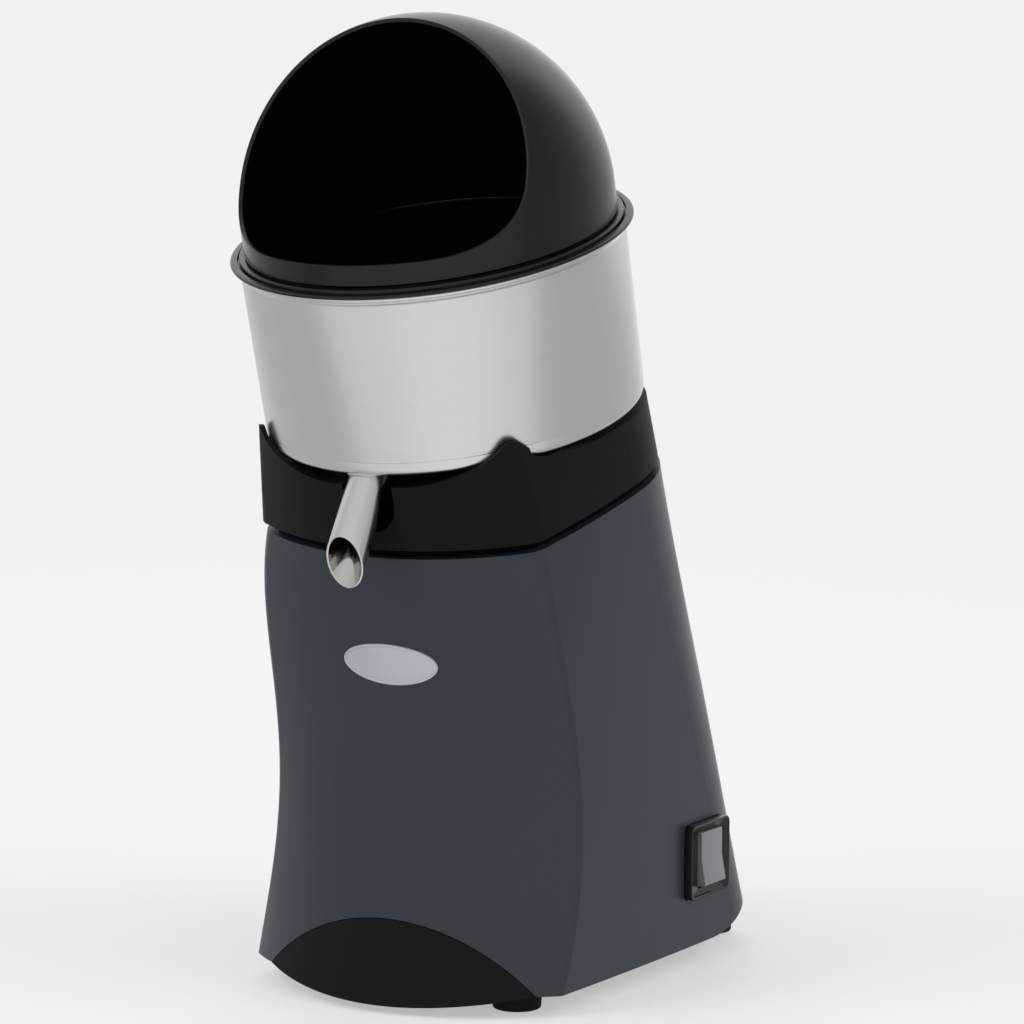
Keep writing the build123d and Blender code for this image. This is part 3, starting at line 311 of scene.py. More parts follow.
FINISHES = {
    dome_plastic: ["splash_dome"],
    ring_plastic: ["rim_ring"],
    stainless: ["juice_bowl", "spout_tube"],
    basket_and_bowl_shade: ["strainer"],
    collar_plastic: ["collar"],
    body_paint: ["body_shell"],
    toe_plastic: ["toe_panel"],
    badge_silver: ["badge_plate"],
    gasket_and_reveal_shade: ["collar_gasket"],
    rubber: ["shaft_seal", "foot_front_left", "foot_front_right", "foot_rear_left", "foot_rear_right"],
    switch_gloss: ["switch_frame", "switch_housing"],
    rocker_grey: ["switch_rocker"],
    zinc: ["collar_screws", "toe_screws", "base_screws", "foot_screws", "plate_screws", "motor_bolts",
           "capacitor_clip"],
    shaft_steel: ["drive_shaft", "drive_pin", "upper_bearing", "lower_bearing", "switch_pin"],
    lamination: ["stator_core", "rotor"],
    winding: ["stator_windings"],
    cast_alloy: ["motor_plate", "upper_end_bell", "lower_end_bell", "run_capacitor"],
    reamer_plastic: ["reamer_cone"],
    base_plastic: ["base_plate", "cooling_fan", "cable_gland", "gland_nut"],
    terminal_white: ["terminal_block"],
}


def dress(piece, *materials):
    """Gives a piece these material slots and no others."""
    piece.data.materials.clear()
    for material in materials:
        piece.data.materials.append(material)


for material, members in FINISHES.items():
    for member in members:
        dress(nodes[member], material)


# Modelling helpers

MERGE = 0.01  # corners nearer than this are one, and heights closer than this are level
TURNS = 256  # sides of a turned piece


def put_down():
    """Leaves edit mode and deselects everything."""
    if bpy.context.object and bpy.context.object.mode != "OBJECT":
        bpy.ops.object.mode_set(mode="OBJECT")
    bpy.ops.object.select_all(action="DESELECT")


def take_up(piece):
    """Makes one piece the only selected and the active one, in object mode."""
    put_down()
    piece.select_set(True)
    bpy.context.view_layer.objects.active = piece


def open_up(piece):
    """Edit mode on a piece, with everything selected."""
    take_up(piece)
    bpy.ops.object.mode_set(mode="EDIT")
    bpy.ops.mesh.select_all(action="SELECT")


def choose(piece, kind, test):
    """Edit mode on a piece, with the edges or faces that pass the test selected.

    An edge is tested by both its ends, a face by its middle and its normal.
    """
    take_up(piece)
    mesh = piece.data
    for members in (mesh.vertices, mesh.edges, mesh.polygons):
        members.foreach_set("select", [False] * len(members))
    if kind == "EDGE":
        for edge in mesh.edges:
            edge.select = test(*[mesh.vertices[index].co for index in edge.vertices])
    else:
        for face in mesh.polygons:
            face.select = test(face.center, face.normal)
    bpy.context.tool_settings.mesh_select_mode = (False, kind == "EDGE", kind == "FACE")
    bpy.ops.object.mode_set(mode="EDIT")


def face_out(piece):
    """Turns the faces of a closed shape outwards."""
    open_up(piece)
    bpy.ops.mesh.normals_make_consistent(inside=False)
    bpy.ops.object.mode_set(mode="OBJECT")


def close_up(piece):
    """Merges the seam of a closed shape and turns its faces outwards."""
    open_up(piece)
    bpy.ops.mesh.remove_doubles(threshold=MERGE * MM)
    face_out(piece)


def name_new(name):
    """Names the piece that was just added, and gives it."""
    piece = bpy.context.object
    piece.name = piece.data.name = name
    return piece


def settle(piece):
    """Puts the place, turn and size of a piece in its mesh."""
    take_up(piece)
    bpy.ops.object.transform_apply(location=True, rotation=True, scale=True)


def lean(piece):
    """Leans a piece that was drawn upright round the head axis."""
    piece.matrix_world = HEAD
    settle(piece)


def finish_with(piece, kind, **settings):
    """Adds one modifier and applies it."""
    take_up(piece)
    modifier = piece.modifiers.new(kind.lower(), kind)
    for name, value in settings.items():
        setattr(modifier, name, value)
    bpy.ops.object.modifier_apply(modifier=modifier.name)


def soften(piece, width, angle, segments):
    """Rounds the edges of a piece that are sharper than the angle."""
    finish_with(piece, "BEVEL", width=width * MM, segments=segments, limit_method="ANGLE",
                angle_limit=math.radians(angle), use_clamp_overlap=True, harden_normals=False)


def shade(piece, angle):
    """Smooth shading up to the angle."""
    take_up(piece)
    bpy.ops.object.shade_smooth_by_angle(angle=math.radians(angle))


def merged_copy(node, name, flat):
    """New piece from a solid's mesh, its triangles joined and its flat faces made whole."""
    put_down()
    mesh = nodes[node].data.copy()
    piece = bpy.data.objects.new(name, mesh)
    mesh.name = name
    bpy.context.scene.collection.objects.link(piece)
    open_up(piece)
    bpy.ops.mesh.remove_doubles(threshold=MERGE * MM)
    bpy.ops.mesh.dissolve_limited(angle_limit=math.radians(flat))
    bpy.ops.object.mode_set(mode="OBJECT")
    return piece


def stands_for(piece, node, body):
    """The piece replaces a node, which is hidden, and moves with its body."""
    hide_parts(node)
    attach(piece, body)


def turned(name, rings):
    """Closed ring of the head axis: one circle, extruded and sized from each (radius, height) to the next."""
    put_down()
    radius, height = rings[0]
    bpy.ops.mesh.primitive_circle_add(vertices=TURNS, radius=radius * MM, location=(0, 0, height * MM))
    piece = name_new(name)
    settle(piece)
    open_up(piece)
    for (radius, height), (next_radius, next_height) in zip(rings, rings[1:] + rings[:1]):
        bpy.ops.mesh.extrude_edges_move(TRANSFORM_OT_translate={"value": (0, 0, (next_height - height) * MM)})
        grow = next_radius / radius
        bpy.ops.transform.resize(value=(grow, grow, 1.0), center_override=(0, 0, 0))
    close_up(piece)
    return piece


def arc(centre, radius, start, end, steps):
    """Points of an arc in the (radius, height) section, angles in degrees."""
    turns = [math.radians(start + (end - start) * step / steps) for step in range(steps + 1)]
    return [(centre[0] + radius * math.cos(turn), centre[1] + radius * math.sin(turn)) for turn in turns]


# Splash dome

DOME_R = 92.5
DOME_CENTRE = 17.3
DOME_WALL = 2.0
DOME_FOOT = 4.5
SPIGOT_R = 89.6
SPIGOT_LOW = -7.0
MOUTH_SILL = 14.6
MOUTH_SLOPE = 29.1
MOUTH_TOP = 107.5
MOUTH_ROUND = 50.0
LOOP = 240  # points round the foot and round the mouth
DOME_CUTS = 84  # rings between the two
SILL_STEPS, CORNER_STEPS, SLOPE_STEPS = 300, 200, 600
SLOPE_STEP = 0.2


def mouth_side_view():
    """Side view of the mouth as (y, z) points: along the sill, round the corner, up the slope."""
    slope = math.radians(MOUTH_SLOPE)
    corner = Vector((-(MOUTH_TOP - MOUTH_SILL) * math.tan(slope), MOUTH_SILL))
    up = Vector((math.sin(slope), math.cos(slope)))
    out = Vector((-1.0, 0.0))
    half_angle = up.angle(out) / 2
    reach = MOUTH_ROUND / math.tan(half_angle)
    middle = corner + (up + out).normalized() * MOUTH_ROUND / math.sin(half_angle)
    front, sill_end = Vector((-DOME_R, MOUTH_SILL)), corner + out * reach
    along_sill = [front.lerp(sill_end, (step / SILL_STEPS) ** 2) for step in range(SILL_STEPS)]
    first, last = sill_end - middle, corner + up * reach - middle
    swing = first.angle_signed(last)
    turns = [Matrix.Rotation(-swing * step / CORNER_STEPS, 2) for step in range(CORNER_STEPS)]
    round_corner = [middle + turn @ first for turn in turns]
    up_slope = [corner + up * (reach + SLOPE_STEP * step) for step in range(SLOPE_STEPS)]
    return along_sill + round_corner + up_slope


def on_dome(point):
    """Nearest place on the dome's outside: a ball above its middle, a straight band below."""
    across, height = Vector((point.x, point.y)), point.z - DOME_CENTRE
    if height <= 0:
        across = across.normalized() * DOME_R
        return Vector((across.x, across.y, point.z))
    ball = Vector((point.x, point.y, height)).normalized() * DOME_R
    return Vector((ball.x, ball.y, ball.z + DOME_CENTRE))


def mouth_edge():
    """Edge of the mouth on the dome, from the front of the sill round by the right, evenly spaced."""
    right = []
    for y, z in mouth_side_view():
        rise = max(z - DOME_CENTRE, 0.0)
        left_over = DOME_R ** 2 - y ** 2 - rise ** 2
        if left_over < 0:
            break
        right.append(Vector((math.sqrt(left_over), y, z)))
    crown = right[-1].copy()
    crown.x = 0.0
    right = [Vector((0.0, -DOME_R, MOUTH_SILL))] + right + [on_dome(crown)]
    run = [0.0]
    for here, there in zip(right, right[1:]):
        run.append(run[-1] + (there - here).length)
    half, place, spaced = LOOP // 2, 0, []
    for step in range(half + 1):
        want = run[-1] * step / half
        while place < len(run) - 2 and run[place + 1] < want:
            place += 1
        share = (want - run[place]) / max(run[place + 1] - run[place], 1e-9)
        spaced.append(right[place].lerp(right[place + 1], share))
    return spaced + [Vector((-point.x, point.y, point.z)) for point in spaced[-2:0:-1]]


def splash_dome():
    """Dome shell: its foot ring bridged to the edge of the mouth, rounded, thickened, with soft lips."""
    put_down()
    bpy.ops.mesh.primitive_circle_add(vertices=LOOP, radius=DOME_R * MM, location=(0, 0, DOME_FOOT * MM))
    dome = name_new("dome_shell")
    settle(dome)
    bpy.ops.object.mode_set(mode="EDIT")
    bpy.ops.mesh.primitive_circle_add(vertices=LOOP, radius=DOME_R * MM, location=(0, 0, 2 * DOME_R * MM))
    bpy.ops.object.mode_set(mode="OBJECT")
    edge = mouth_edge()
    for index in range(LOOP):
        turn = 2 * math.pi * index / LOOP - math.pi / 2
        foot = Vector((DOME_R * math.cos(turn), DOME_R * math.sin(turn), DOME_FOOT))
        dome.data.vertices[index].co = foot * MM
        dome.data.vertices[LOOP + index].co = edge[index] * MM
    bpy.ops.object.mode_set(mode="EDIT")
    bpy.context.tool_settings.mesh_select_mode = (False, True, False)
    bpy.ops.mesh.select_all(action="SELECT")
    bpy.ops.mesh.bridge_edge_loops(number_cuts=DOME_CUTS, interpolation="LINEAR")
    bpy.ops.object.mode_set(mode="OBJECT")
    for corner in dome.data.vertices:
        corner.co = on_dome(corner.co / MM) * MM
    choose(dome, "EDGE", lambda a, b: max(a.z, b.z) < (DOME_FOOT + MERGE) * MM)
    bpy.ops.mesh.extrude_edges_move(TRANSFORM_OT_translate={"value": (0, 0, 0)})
    narrow = SPIGOT_R / DOME_R
    bpy.ops.transform.resize(value=(narrow, narrow, 1.0), center_override=(0, 0, 0))
    bpy.ops.mesh.extrude_edges_move(TRANSFORM_OT_translate={"value": (0, 0, (SPIGOT_LOW - DOME_FOOT) * MM)})
    close_up(dome)
    if dome.data.polygons[0].normal.dot(dome.data.polygons[0].center) < 0:
        dome.data.flip_normals()
    # The inside faces take the darker copy, which paints the shade inside the dome
    dress(dome, dome_plastic, dome_inside_shade)
    finish_with(dome, "SOLIDIFY", thickness=DOME_WALL * MM, offset=-1.0, use_even_offset=True, use_rim=True,
                material_offset=1, material_offset_rim=0)
    soften(dome, width=0.8, angle=55.0, segments=4)
    shade(dome, angle=35.0)
    lean(dome)
    stands_for(dome, "splash_dome", "dome")


# Rim ring

# Section as (radius, height): seat and underside, wide lip, groove, inner lip, bore
RING_SECTION = [
    (87.0, -10.0), (94.2, -10.0), (94.2, 0.0),
    (99.6, 0.0), (100.0, 0.4), (99.9, 1.2), (99.3, 1.65), (96.6, 1.9), (96.3, 1.6),
    (96.2, -0.6), (95.4, -0.6),
    (95.3, 2.8), (94.8, 3.3), (90.4, 3.3), (90.0, 2.9),
    (90.0, -7.0), (87.0, -7.0),
]


def rim_ring():
    """Stepped ring with the wide lip, its edges broken."""
    ring = turned("lipped_ring", RING_SECTION)
    soften(ring, width=0.22, angle=25.0, segments=2)
    shade(ring, angle=30.0)
    lean(ring)
    dress(ring, ring_plastic)
    stands_for(ring, "rim_ring", "bowl")


# Juice bowl and spout

SHEET = 1.2
BOWL_LOW = -91.2
BOWL_CORNER = 4.0
BOWL_LOW_R = 94.8
BOWL_FOOT_R = BOWL_LOW_R - 0.2
BOWL_TURN = (BOWL_FOOT_R - BOWL_CORNER, BOWL_LOW + BOWL_CORNER)

# The bowl's section as (radius, height):
# rolled bead, groove below it, wall, fine line near the foot, chimney, inside
BOWL_TOP = [(94.5, -0.1)]
BEAD = arc((95.35, -1.55), 1.4, start=95, end=-90, steps=13)
GROOVE = [(95.0, -3.0), (94.85, -3.25), (94.9, -3.6), (95.2, -4.1), (95.5, -4.55), (95.6, -4.8)]
WALL = [(95.2, -42.0), (BOWL_LOW_R, -83.6), (BOWL_LOW_R - 0.05, -83.85)]
FINE_LINE = [(BOWL_FOOT_R - 0.02, -84.1), (BOWL_FOOT_R, -84.5)]
CHIMNEY = [
    (60.0, BOWL_LOW), (13.6, BOWL_LOW), (13.0, BOWL_LOW + 0.6), (13.0, -64.3), (13.3, -64.0), (13.9, -64.0),
    (14.2, -64.3), (14.2, BOWL_LOW + SHEET), (60.0, BOWL_LOW + SHEET),
]
INSIDE = [(BOWL_LOW_R - SHEET, -83.0), (94.2, -40.0)]

SPOUT_R = 10.2
SPOUT_BORE = 9.1
SPOUT_ROOT = Vector((0.0, -79.7, BOWL_LOW))
SPOUT_LEAN = math.radians(45.0)
SPOUT_DOWN = Vector((0.0, -math.sin(SPOUT_LEAN), -math.cos(SPOUT_LEAN)))
SPOUT_ACROSS = Vector((0.0, -math.cos(SPOUT_LEAN), math.sin(SPOUT_LEAN)))
SPOUT_RUN = 36.2
SPOUT_TOP = BOWL_LOW + 1.0
SPOUT_SIDES = 128
TIP_LEAN = math.radians(-3.0)

WELD_R = 1.0
WELD_WIDE, WELD_HIGH = 1.3, 0.8  # the bead's shares of its round section
WELD_SIDES = (180, 16)  # round the spout and round the bead
WELD_RIPPLES = 47
WELD_RIPPLE = 0.12
HALVINGS = 40


def spout_rod(name, radius, back, reach):
    """Round rod along the spout, from back above its root to reach below it, before the head leans."""
    put_down()
    middle = (SPOUT_ROOT + SPOUT_DOWN * (reach - back) / 2) * MM
    bpy.ops.mesh.primitive_cylinder_add(vertices=SPOUT_SIDES, radius=radius * MM, depth=(reach + back) * MM,
                                        location=middle, rotation=(-SPOUT_LEAN, 0, 0))
    rod = name_new(name)
    settle(rod)
    return rod


def juice_bowl():
    """Spun bowl: rolled bead, drafted wall with a fine line near its foot, round corner, chimney."""
    round_foot = arc(BOWL_TURN, BOWL_CORNER, start=0, end=-90, steps=12)
    outside = BOWL_TOP + BEAD + GROOVE + WALL + FINE_LINE + round_foot
    inside = arc(BOWL_TURN, BOWL_CORNER - SHEET, start=-90, end=0, steps=8) + INSIDE
    bowl = turned("steel_bowl", outside + CHIMNEY + inside)
    cutter = spout_rod("spout_hole", (SPOUT_R + SPOUT_BORE) / 2, back=24.0, reach=12.0)
    finish_with(bowl, "BOOLEAN", operation="DIFFERENCE", object=cutter, solver="EXACT")
    bpy.data.objects.remove(cutter, do_unlink=True)
    shade(bowl, angle=32.0)
    lean(bowl)
    dress(bowl, stainless)
    stands_for(bowl, "juice_bowl", "bowl")


def spout_tube():
    """Drawn tube, cut steeply at the tip, with a rounded rim."""
    tube = spout_rod("spout", SPOUT_R, back=16.0, reach=80.0)
    tip = SPOUT_ROOT + Vector((0.0, -SPOUT_RUN, -SPOUT_RUN))
    tip_normal = (0, -math.cos(TIP_LEAN), math.sin(TIP_LEAN))
    choose(tube, "FACE", lambda middle, normal: abs(normal.x) < 0.01 and abs(normal.y - normal.z) < 0.01)
    bpy.ops.mesh.delete(type="FACE")
    for place, normal in (((0, 0, SPOUT_TOP * MM), (0, 0, 1)), (tip * MM, tip_normal)):
        bpy.ops.mesh.select_all(action="SELECT")
        bpy.ops.mesh.bisect(plane_co=place, plane_no=normal, clear_outer=True)
    bpy.ops.object.mode_set(mode="OBJECT")
    dress(tube, spout_steel, spout_inside)
    finish_with(tube, "SOLIDIFY", thickness=(SPOUT_R - SPOUT_BORE) * MM, offset=-1.0, use_even_offset=True,
                material_offset=1, material_offset_rim=0)
    soften(tube, width=0.42, angle=50.0, segments=4)
    shade(tube, angle=50.0)
    lean(tube)
    stands_for(tube, "spout_tube", "bowl")


def weld_path(turn):
    """Where the tube's outside meets the underside of the bowl, at one turn round the tube, by halving."""
    aside = Vector((SPOUT_R * math.sin(turn), 0.0, 0.0))
    start = SPOUT_ROOT + aside + SPOUT_ACROSS * SPOUT_R * math.cos(turn)
    low, high = -2 * SPOUT_R, 2 * SPOUT_R
    for _ in range(HALVINGS):
        middle = (low + high) / 2
        place = start + SPOUT_DOWN * middle
        beyond = max(math.hypot(place.x, place.y) - BOWL_TURN[0], 0.0)
        underside = BOWL_TURN[1] - math.sqrt(max(BOWL_CORNER ** 2 - beyond ** 2, 0.0))
        if beyond < BOWL_CORNER and place.z > underside:
            low = middle
        else:
            high = middle
    return start + SPOUT_DOWN * high


def spout_weld():
    """Weld run where the tube meets the bowl: a flattened bead round the root with fine ripples."""
    put_down()
    bpy.ops.mesh.primitive_torus_add(major_segments=WELD_SIDES[0], minor_segments=WELD_SIDES[1],
                                     major_radius=SPOUT_R * MM, minor_radius=WELD_R * MM, location=(0, 0, 0))
    weld = name_new("spout_weld")
    for corner in weld.data.vertices:
        turn = math.atan2(corner.co.x, -corner.co.y)
        ripple = 1.0 + WELD_RIPPLE * math.sin(WELD_RIPPLES * turn)
        out = (math.hypot(corner.co.x, corner.co.y) / MM - SPOUT_R) * ripple
        rise = corner.co.z / MM * WELD_HIGH
        away = Vector((math.sin(turn), -math.cos(turn), 0.0))
        corner.co = (weld_path(turn) + away * out * WELD_WIDE + Vector((0.0, 0.0, rise))) * MM
    close_up(weld)
    bpy.ops.object.shade_smooth()
    lean(weld)
    dress(weld, weld_steel)
    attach(weld, "bowl")


# Badge

BADGE = Vector((0.0, -91.2, 169.8))
BADGE_LEAN = math.radians(18.0)
BADGE_OUT = Vector((0.0, -math.cos(BADGE_LEAN), -math.sin(BADGE_LEAN)))
BADGE_RIGHT = Vector((1.0, 0.0, 0.0))
BADGE_UP = Vector((0.0, -math.sin(BADGE_LEAN), math.cos(BADGE_LEAN)))
BADGE_WIDE = 27.0  # half width and half height
BADGE_HIGH = 10.5
BADGE_SIDES = 160
BADGE_THICK = 0.8
BADGE_SUNK = 0.05
BADGE_RIM = [(0.3, 0.35), (0.7, 0.05), (0.25, -0.3), (0.35, 0.0), (0.4, 0.1)]  # insets: width, rise
BADGE_CROWN = [(0.85, 0.12), (0.8, 0.08), (0.75, 0.05), (0.65, 0.03), (0.5, 0.0)]  # rings: share, rise
SIGHT = 50.0  # how far before the badge the body is sighted from


def body_depth(across, height):
    """How far the body's front lies behind the badge's own plane, in metres."""
    start = (BADGE + BADGE_RIGHT * across + BADGE_UP * height) * MM + BADGE_OUT * SIGHT * MM
    place = nodes["body_shell"].ray_cast(start, -BADGE_OUT)[1]
    return (start - place).dot(BADGE_OUT) - SIGHT * MM


def lay_on_body(plate):
    """Bends a flat badge to the curve of the body's front, and stands it there."""
    middle, side = body_depth(0, 0), body_depth(BADGE_WIDE, 0)
    top, bottom = body_depth(0, BADGE_HIGH), body_depth(0, -BADGE_HIGH)
    for corner in plate.data.vertices:
        across, height = corner.co.x / (BADGE_WIDE * MM), corner.co.y / (BADGE_HIGH * MM)
        depth = (middle + (side - middle) * across ** 2 + (top - bottom) / 2 * height
                 + ((top + bottom) / 2 - middle) * height ** 2)
        out = corner.co.z - depth - BADGE_SUNK * MM
        corner.co = BADGE * MM + BADGE_RIGHT * corner.co.x + BADGE_UP * corner.co.y + BADGE_OUT * out


def badge():
    """Bare oval plate: a raised rim round a gently crowned face, laid on the curve of the body's front."""
    put_down()
    bpy.ops.mesh.primitive_circle_add(vertices=BADGE_SIDES, radius=1.0, fill_type="NGON", location=(0, 0, 0))
    plate = name_new("oval_plate")
    plate.scale = (BADGE_WIDE * MM, BADGE_HIGH * MM, 1.0)
    settle(plate)
    choose(plate, "FACE", lambda middle, normal: True)
    bpy.ops.mesh.extrude_region_move(TRANSFORM_OT_translate={"value": (0, 0, BADGE_THICK * MM)})
    for width, rise in BADGE_RIM:
        bpy.ops.mesh.inset(thickness=width * MM, depth=rise * MM)
    for share, rise in BADGE_CROWN:
        bpy.ops.mesh.extrude_region_move(TRANSFORM_OT_translate={"value": (0, 0, rise * MM)})
        bpy.ops.transform.resize(value=(share, share, 1.0), center_override=(0, 0, 0))
    bpy.ops.object.mode_set(mode="OBJECT")
    lay_on_body(plate)
    face_out(plate)
    shade(plate, angle=28.0)
    dress(plate, badge_silver)
    stands_for(plate, "badge_plate", "frame")


# Rocker switch

FRAME_CORNER = 4.0
FRAME_CORNER_STEPS = 8
FRAME_STEPS = [(0.5, 0.0), (0.5, -0.25), (0.6, -0.1), (0.4, -1.0), (0.2, -0.4)]  # insets: width, rise
WINDOW_ROOM = 0.8  # how much wider the window is than the rocker
WINDOW_DEEP = 3.2


def switch_frame():
    """Deep moulded frame: round corners, a broken edge, a face that slopes in to the window of the rocker."""
    low, high = [Vector(corner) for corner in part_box("switch_frame")]
    key_low, key_high = [Vector(corner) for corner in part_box("switch_rocker")]
    middle = (low + high) / 2
    put_down()
    bpy.ops.mesh.primitive_cube_add(size=1.0, location=middle)
    bezel = name_new("switch_bezel")
    bezel.scale = high - low
    settle(bezel)
    choose(bezel, "EDGE", lambda a, b: abs(a.x - b.x) > (high.x - low.x) / 2)
    bpy.ops.mesh.bevel(offset=FRAME_CORNER * MM, segments=FRAME_CORNER_STEPS, affect="EDGES")
    bpy.ops.object.mode_set(mode="OBJECT")
    choose(bezel, "FACE", lambda place, normal: normal.x > 0.9)
    inset = 0.0
    for width, rise in FRAME_STEPS:
        bpy.ops.mesh.inset(thickness=width * MM, depth=rise * MM)
        inset += 2 * width * MM
    size = high - low - Vector((0.0, inset, inset))
    window = key_high - key_low + Vector((0.0, WINDOW_ROOM * MM, WINDOW_ROOM * MM))
    shift = (key_low + key_high) / 2 - middle
    bpy.ops.transform.resize(value=(1.0, window.y / size.y, window.z / size.z), center_override=middle)
    bpy.ops.transform.translate(value=(0.0, shift.y, shift.z))
    bpy.ops.mesh.extrude_region_move(TRANSFORM_OT_translate={"value": (-WINDOW_DEEP * MM, 0, 0)})
    bpy.ops.object.mode_set(mode="OBJECT")
    soften(bezel, width=0.3, angle=30.0, segments=2)
    shade(bezel, angle=30.0)
    dress(bezel, switch_gloss)
    stands_for(bezel, "switch_frame", "frame")


def switch_key():
    """Rocker: a merged copy of its solid with soft edges."""
    key = merged_copy("switch_rocker", "rocker_key", flat=2.0)
    soften(key, width=0.5, angle=40.0, segments=3)
    shade(key, angle=40.0)
    dress(key, rocker_grey)
    stands_for(key, "switch_rocker", "rocker")


splash_dome()
rim_ring()
juice_bowl()
spout_tube()
spout_weld()
badge()
switch_frame()
switch_key()


# Floor, world and lamps

PALE = 0.88  # level of the backdrop
ROOM = 0.62  # level of the light from all round
ROOM_TINT = (0.96, 0.98, 1.0, 1.0)
FLOOR_R = 2.2
FLOOR_SIDES = 96
FLOOR_TINT = (0.86, 0.86, 0.86, 1.0)
FLOOR_FADE = (0.45, 1.9)  # from the middle, where the floor begins and ends to fade
FLOOR_GLOW = 0.5  # share of the backdrop's own level in what the camera sees of the floor

# Tone of the studio that metal and gloss show: (bearing from the camera in degrees, level), right positive
LOW_TONES = [
    (-180, 1.2), (-168, 0.82), (-155, 0.74), (-134, 0.60), (-82, 0.57), (-75, 0.60), (-65, 0.85), (-34, 0.88),
    (-14, 0.98), (18, 0.98), (40, 0.89), (56, 0.84), (64, 0.55), (90, 0.56), (105, 0.55), (120, 0.56),
    (132, 0.58), (143, 0.63), (156, 0.75), (167, 1.1), (180, 1.2),
]
HIGH_TONES = [
    (-180, 1.15), (-130, 0.95), (-95, 0.65), (-60, 0.75), (0, 0.8), (56, 0.6), (78, 0.45), (102, 0.5),
    (115, 0.64), (126, 0.95), (136, 1.4), (150, 1.25), (180, 1.15),
]
TONE_HEIGHTS = (-0.09, 0.5)  # sine of the elevation where the low tones end and the high ones are full


def lay_floor():
    """Pale round floor that fades into the backdrop."""
    put_down()
    bpy.ops.mesh.primitive_circle_add(vertices=FLOOR_SIDES, radius=FLOOR_R, fill_type="NGON",
                                      location=(0, 0, 0))
    floor = name_new("floor")
    floor.visible_glossy = False
    material, tree, shader = new_finish("floor_paper")
    set_plain(shader, Base_Color=FLOOR_TINT, Roughness=0.9, Specular_IOR_Level=0.1)
    place = add_node(tree, "ShaderNodeTexCoord")
    reach = add_node(tree, "ShaderNodeVectorMath", {"operation": "LENGTH"})
    link(tree, place.outputs["Object"], reach.inputs[0])
    link(tree, map_range(tree, reach.outputs["Value"], *FLOOR_FADE, 1.0, 0.0), shader.inputs["Alpha"])
    paper = add_node(tree, "ShaderNodeEmission", Color=(PALE, PALE, PALE, 1.0))
    rays = add_node(tree, "ShaderNodeLightPath")
    lit = add_node(tree, "ShaderNodeMixShader")
    link(tree, math_node(tree, "MULTIPLY", rays.outputs["Is Camera Ray"], FLOOR_GLOW), lit.inputs["Fac"])
    link(tree, shader.outputs["BSDF"], lit.inputs[1])
    link(tree, paper.outputs["Emission"], lit.inputs[2])
    link(tree, lit.outputs["Shader"], tree.nodes["Material Output"].inputs["Surface"])
    dress(floor, material)


def tone_ring(tree, turn, tones):
    """Level for each bearing round the room, as a ramp."""
    ramp = add_node(tree, "ShaderNodeValToRGB")
    stops = ramp.color_ramp.elements
    while len(stops) < len(tones):
        stops.new(0.5)
    for stop, (degrees, level) in zip(stops, tones):
        stop.position = (degrees + 180) / 360
        stop.color = (level, level, level, 1.0)
    link(tree, turn, ramp.inputs["Fac"])
    return ramp.outputs["Color"]


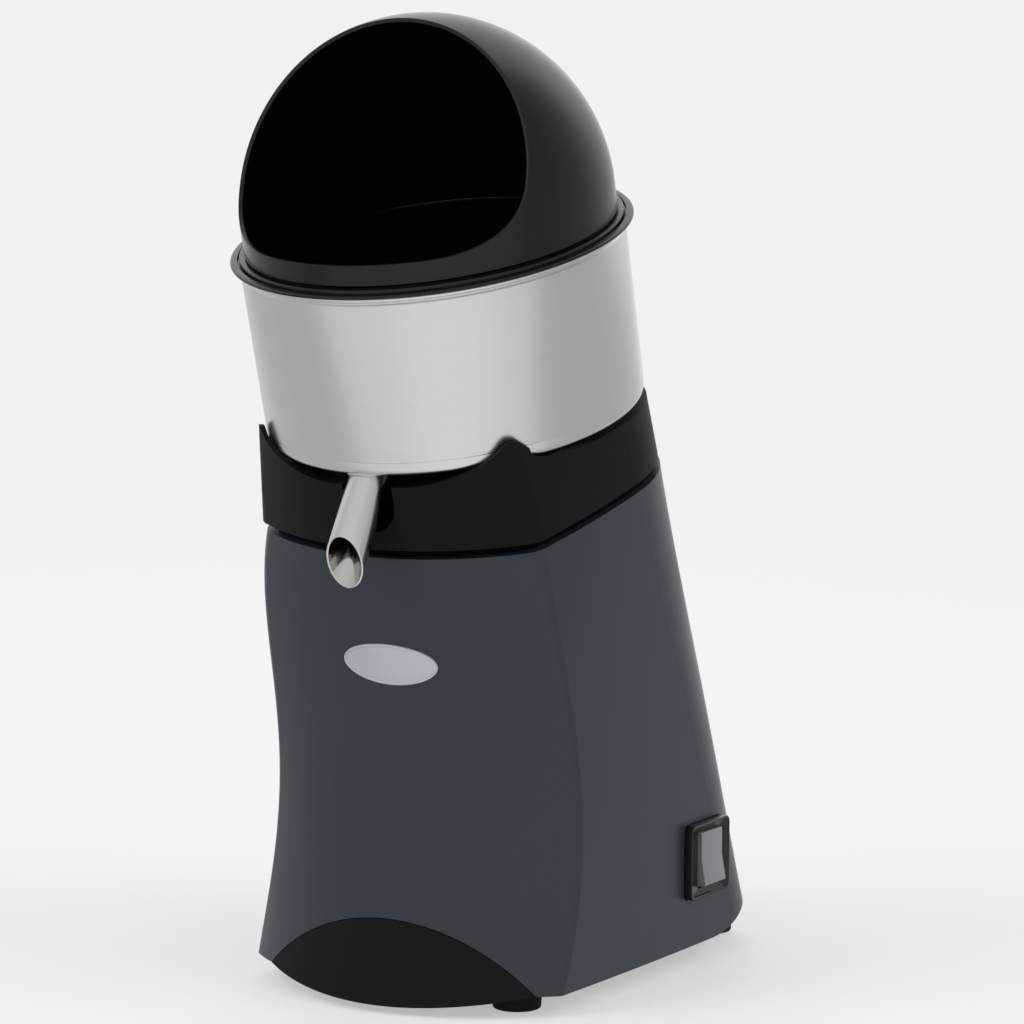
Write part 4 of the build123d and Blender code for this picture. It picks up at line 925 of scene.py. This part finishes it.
def light_world():
    """Even studio light, a pale backdrop for the camera, and soft panels all round for metal and gloss."""
    world = bpy.data.worlds.new("studio")
    bpy.context.scene.world = world
    world.use_nodes = True
    tree = world.node_tree
    tree.nodes.clear()
    room = add_node(tree, "ShaderNodeBackground", Color=ROOM_TINT, Strength=ROOM)
    place = add_node(tree, "ShaderNodeTexCoord")
    parts = []
    for axis in ((math.sin(CAMERA_AZIMUTH), -math.cos(CAMERA_AZIMUTH), 0.0),
                 (math.cos(CAMERA_AZIMUTH), math.sin(CAMERA_AZIMUTH), 0.0), (0.0, 0.0, 1.0)):
        share = add_node(tree, "ShaderNodeVectorMath", {"operation": "DOT_PRODUCT"})
        link(tree, place.outputs["Generated"], share.inputs[0])
        share.inputs[1].default_value = axis
        parts.append(share.outputs["Value"])
    ahead, aside, height = parts
    turn = map_range(tree, math_node(tree, "ARCTAN2", aside, ahead), -math.pi, math.pi, 0.0, 1.0)
    glossy = add_node(tree, "ShaderNodeMix", {"data_type": "FLOAT"})
    link(tree, map_range(tree, height, *TONE_HEIGHTS, 0.0, 1.0), glossy.inputs["Factor"])
    link(tree, tone_ring(tree, turn, LOW_TONES), glossy.inputs["A"])
    link(tree, tone_ring(tree, turn, HIGH_TONES), glossy.inputs["B"])
    rays = add_node(tree, "ShaderNodeLightPath")
    level = add_node(tree, "ShaderNodeMix", {"data_type": "FLOAT"})
    link(tree, rays.outputs["Is Glossy Ray"], level.inputs["Factor"])
    level.inputs["A"].default_value = PALE
    link(tree, glossy.outputs["Result"], level.inputs["B"])
    backdrop = add_node(tree, "ShaderNodeBackground", Color=(1.0, 1.0, 1.0, 1.0))
    link(tree, level.outputs["Result"], backdrop.inputs["Strength"])
    seen = math_node(tree, "MAXIMUM", rays.outputs["Is Camera Ray"], rays.outputs["Is Glossy Ray"])
    seen = math_node(tree, "MAXIMUM", seen, rays.outputs["Is Transmission Ray"])
    mix = add_node(tree, "ShaderNodeMixShader")
    link(tree, seen, mix.inputs["Fac"])
    link(tree, room.outputs["Background"], mix.inputs[1])
    link(tree, backdrop.outputs["Background"], mix.inputs[2])
    out = add_node(tree, "ShaderNodeOutputWorld")
    link(tree, mix.outputs["Shader"], out.inputs["Surface"])


LAMPS = [  # name, place, size, power
    ("key_softbox", (-1.3, -1.7, 1.9), 1.6, 26.0),
    ("side_softbox", (2.2, 0.5, 1.3), 1.6, 26.0),
    ("back_softbox", (-1.2, 1.8, 1.6), 1.6, 18.0),
]
LAMP_AIM = Vector((0.0, 0.0, 0.25))


def hang_lamps():
    """Large soft lamps, aimed at the middle of the machine."""
    for name, place, size, power in LAMPS:
        lamp = bpy.data.lights.new(name, "AREA")
        lamp.shape = "SQUARE"
        lamp.size = size
        lamp.energy = power
        holder = bpy.data.objects.new(name, lamp)
        bpy.context.scene.collection.objects.link(holder)
        holder.location = place
        aim = LAMP_AIM - Vector(place)
        holder.rotation_euler = aim.to_track_quat("-Z", "Y").to_euler()
        holder.visible_glossy = False


lay_floor()
light_world()
hang_lamps()
bpy.context.scene.view_settings.view_transform = "Standard"
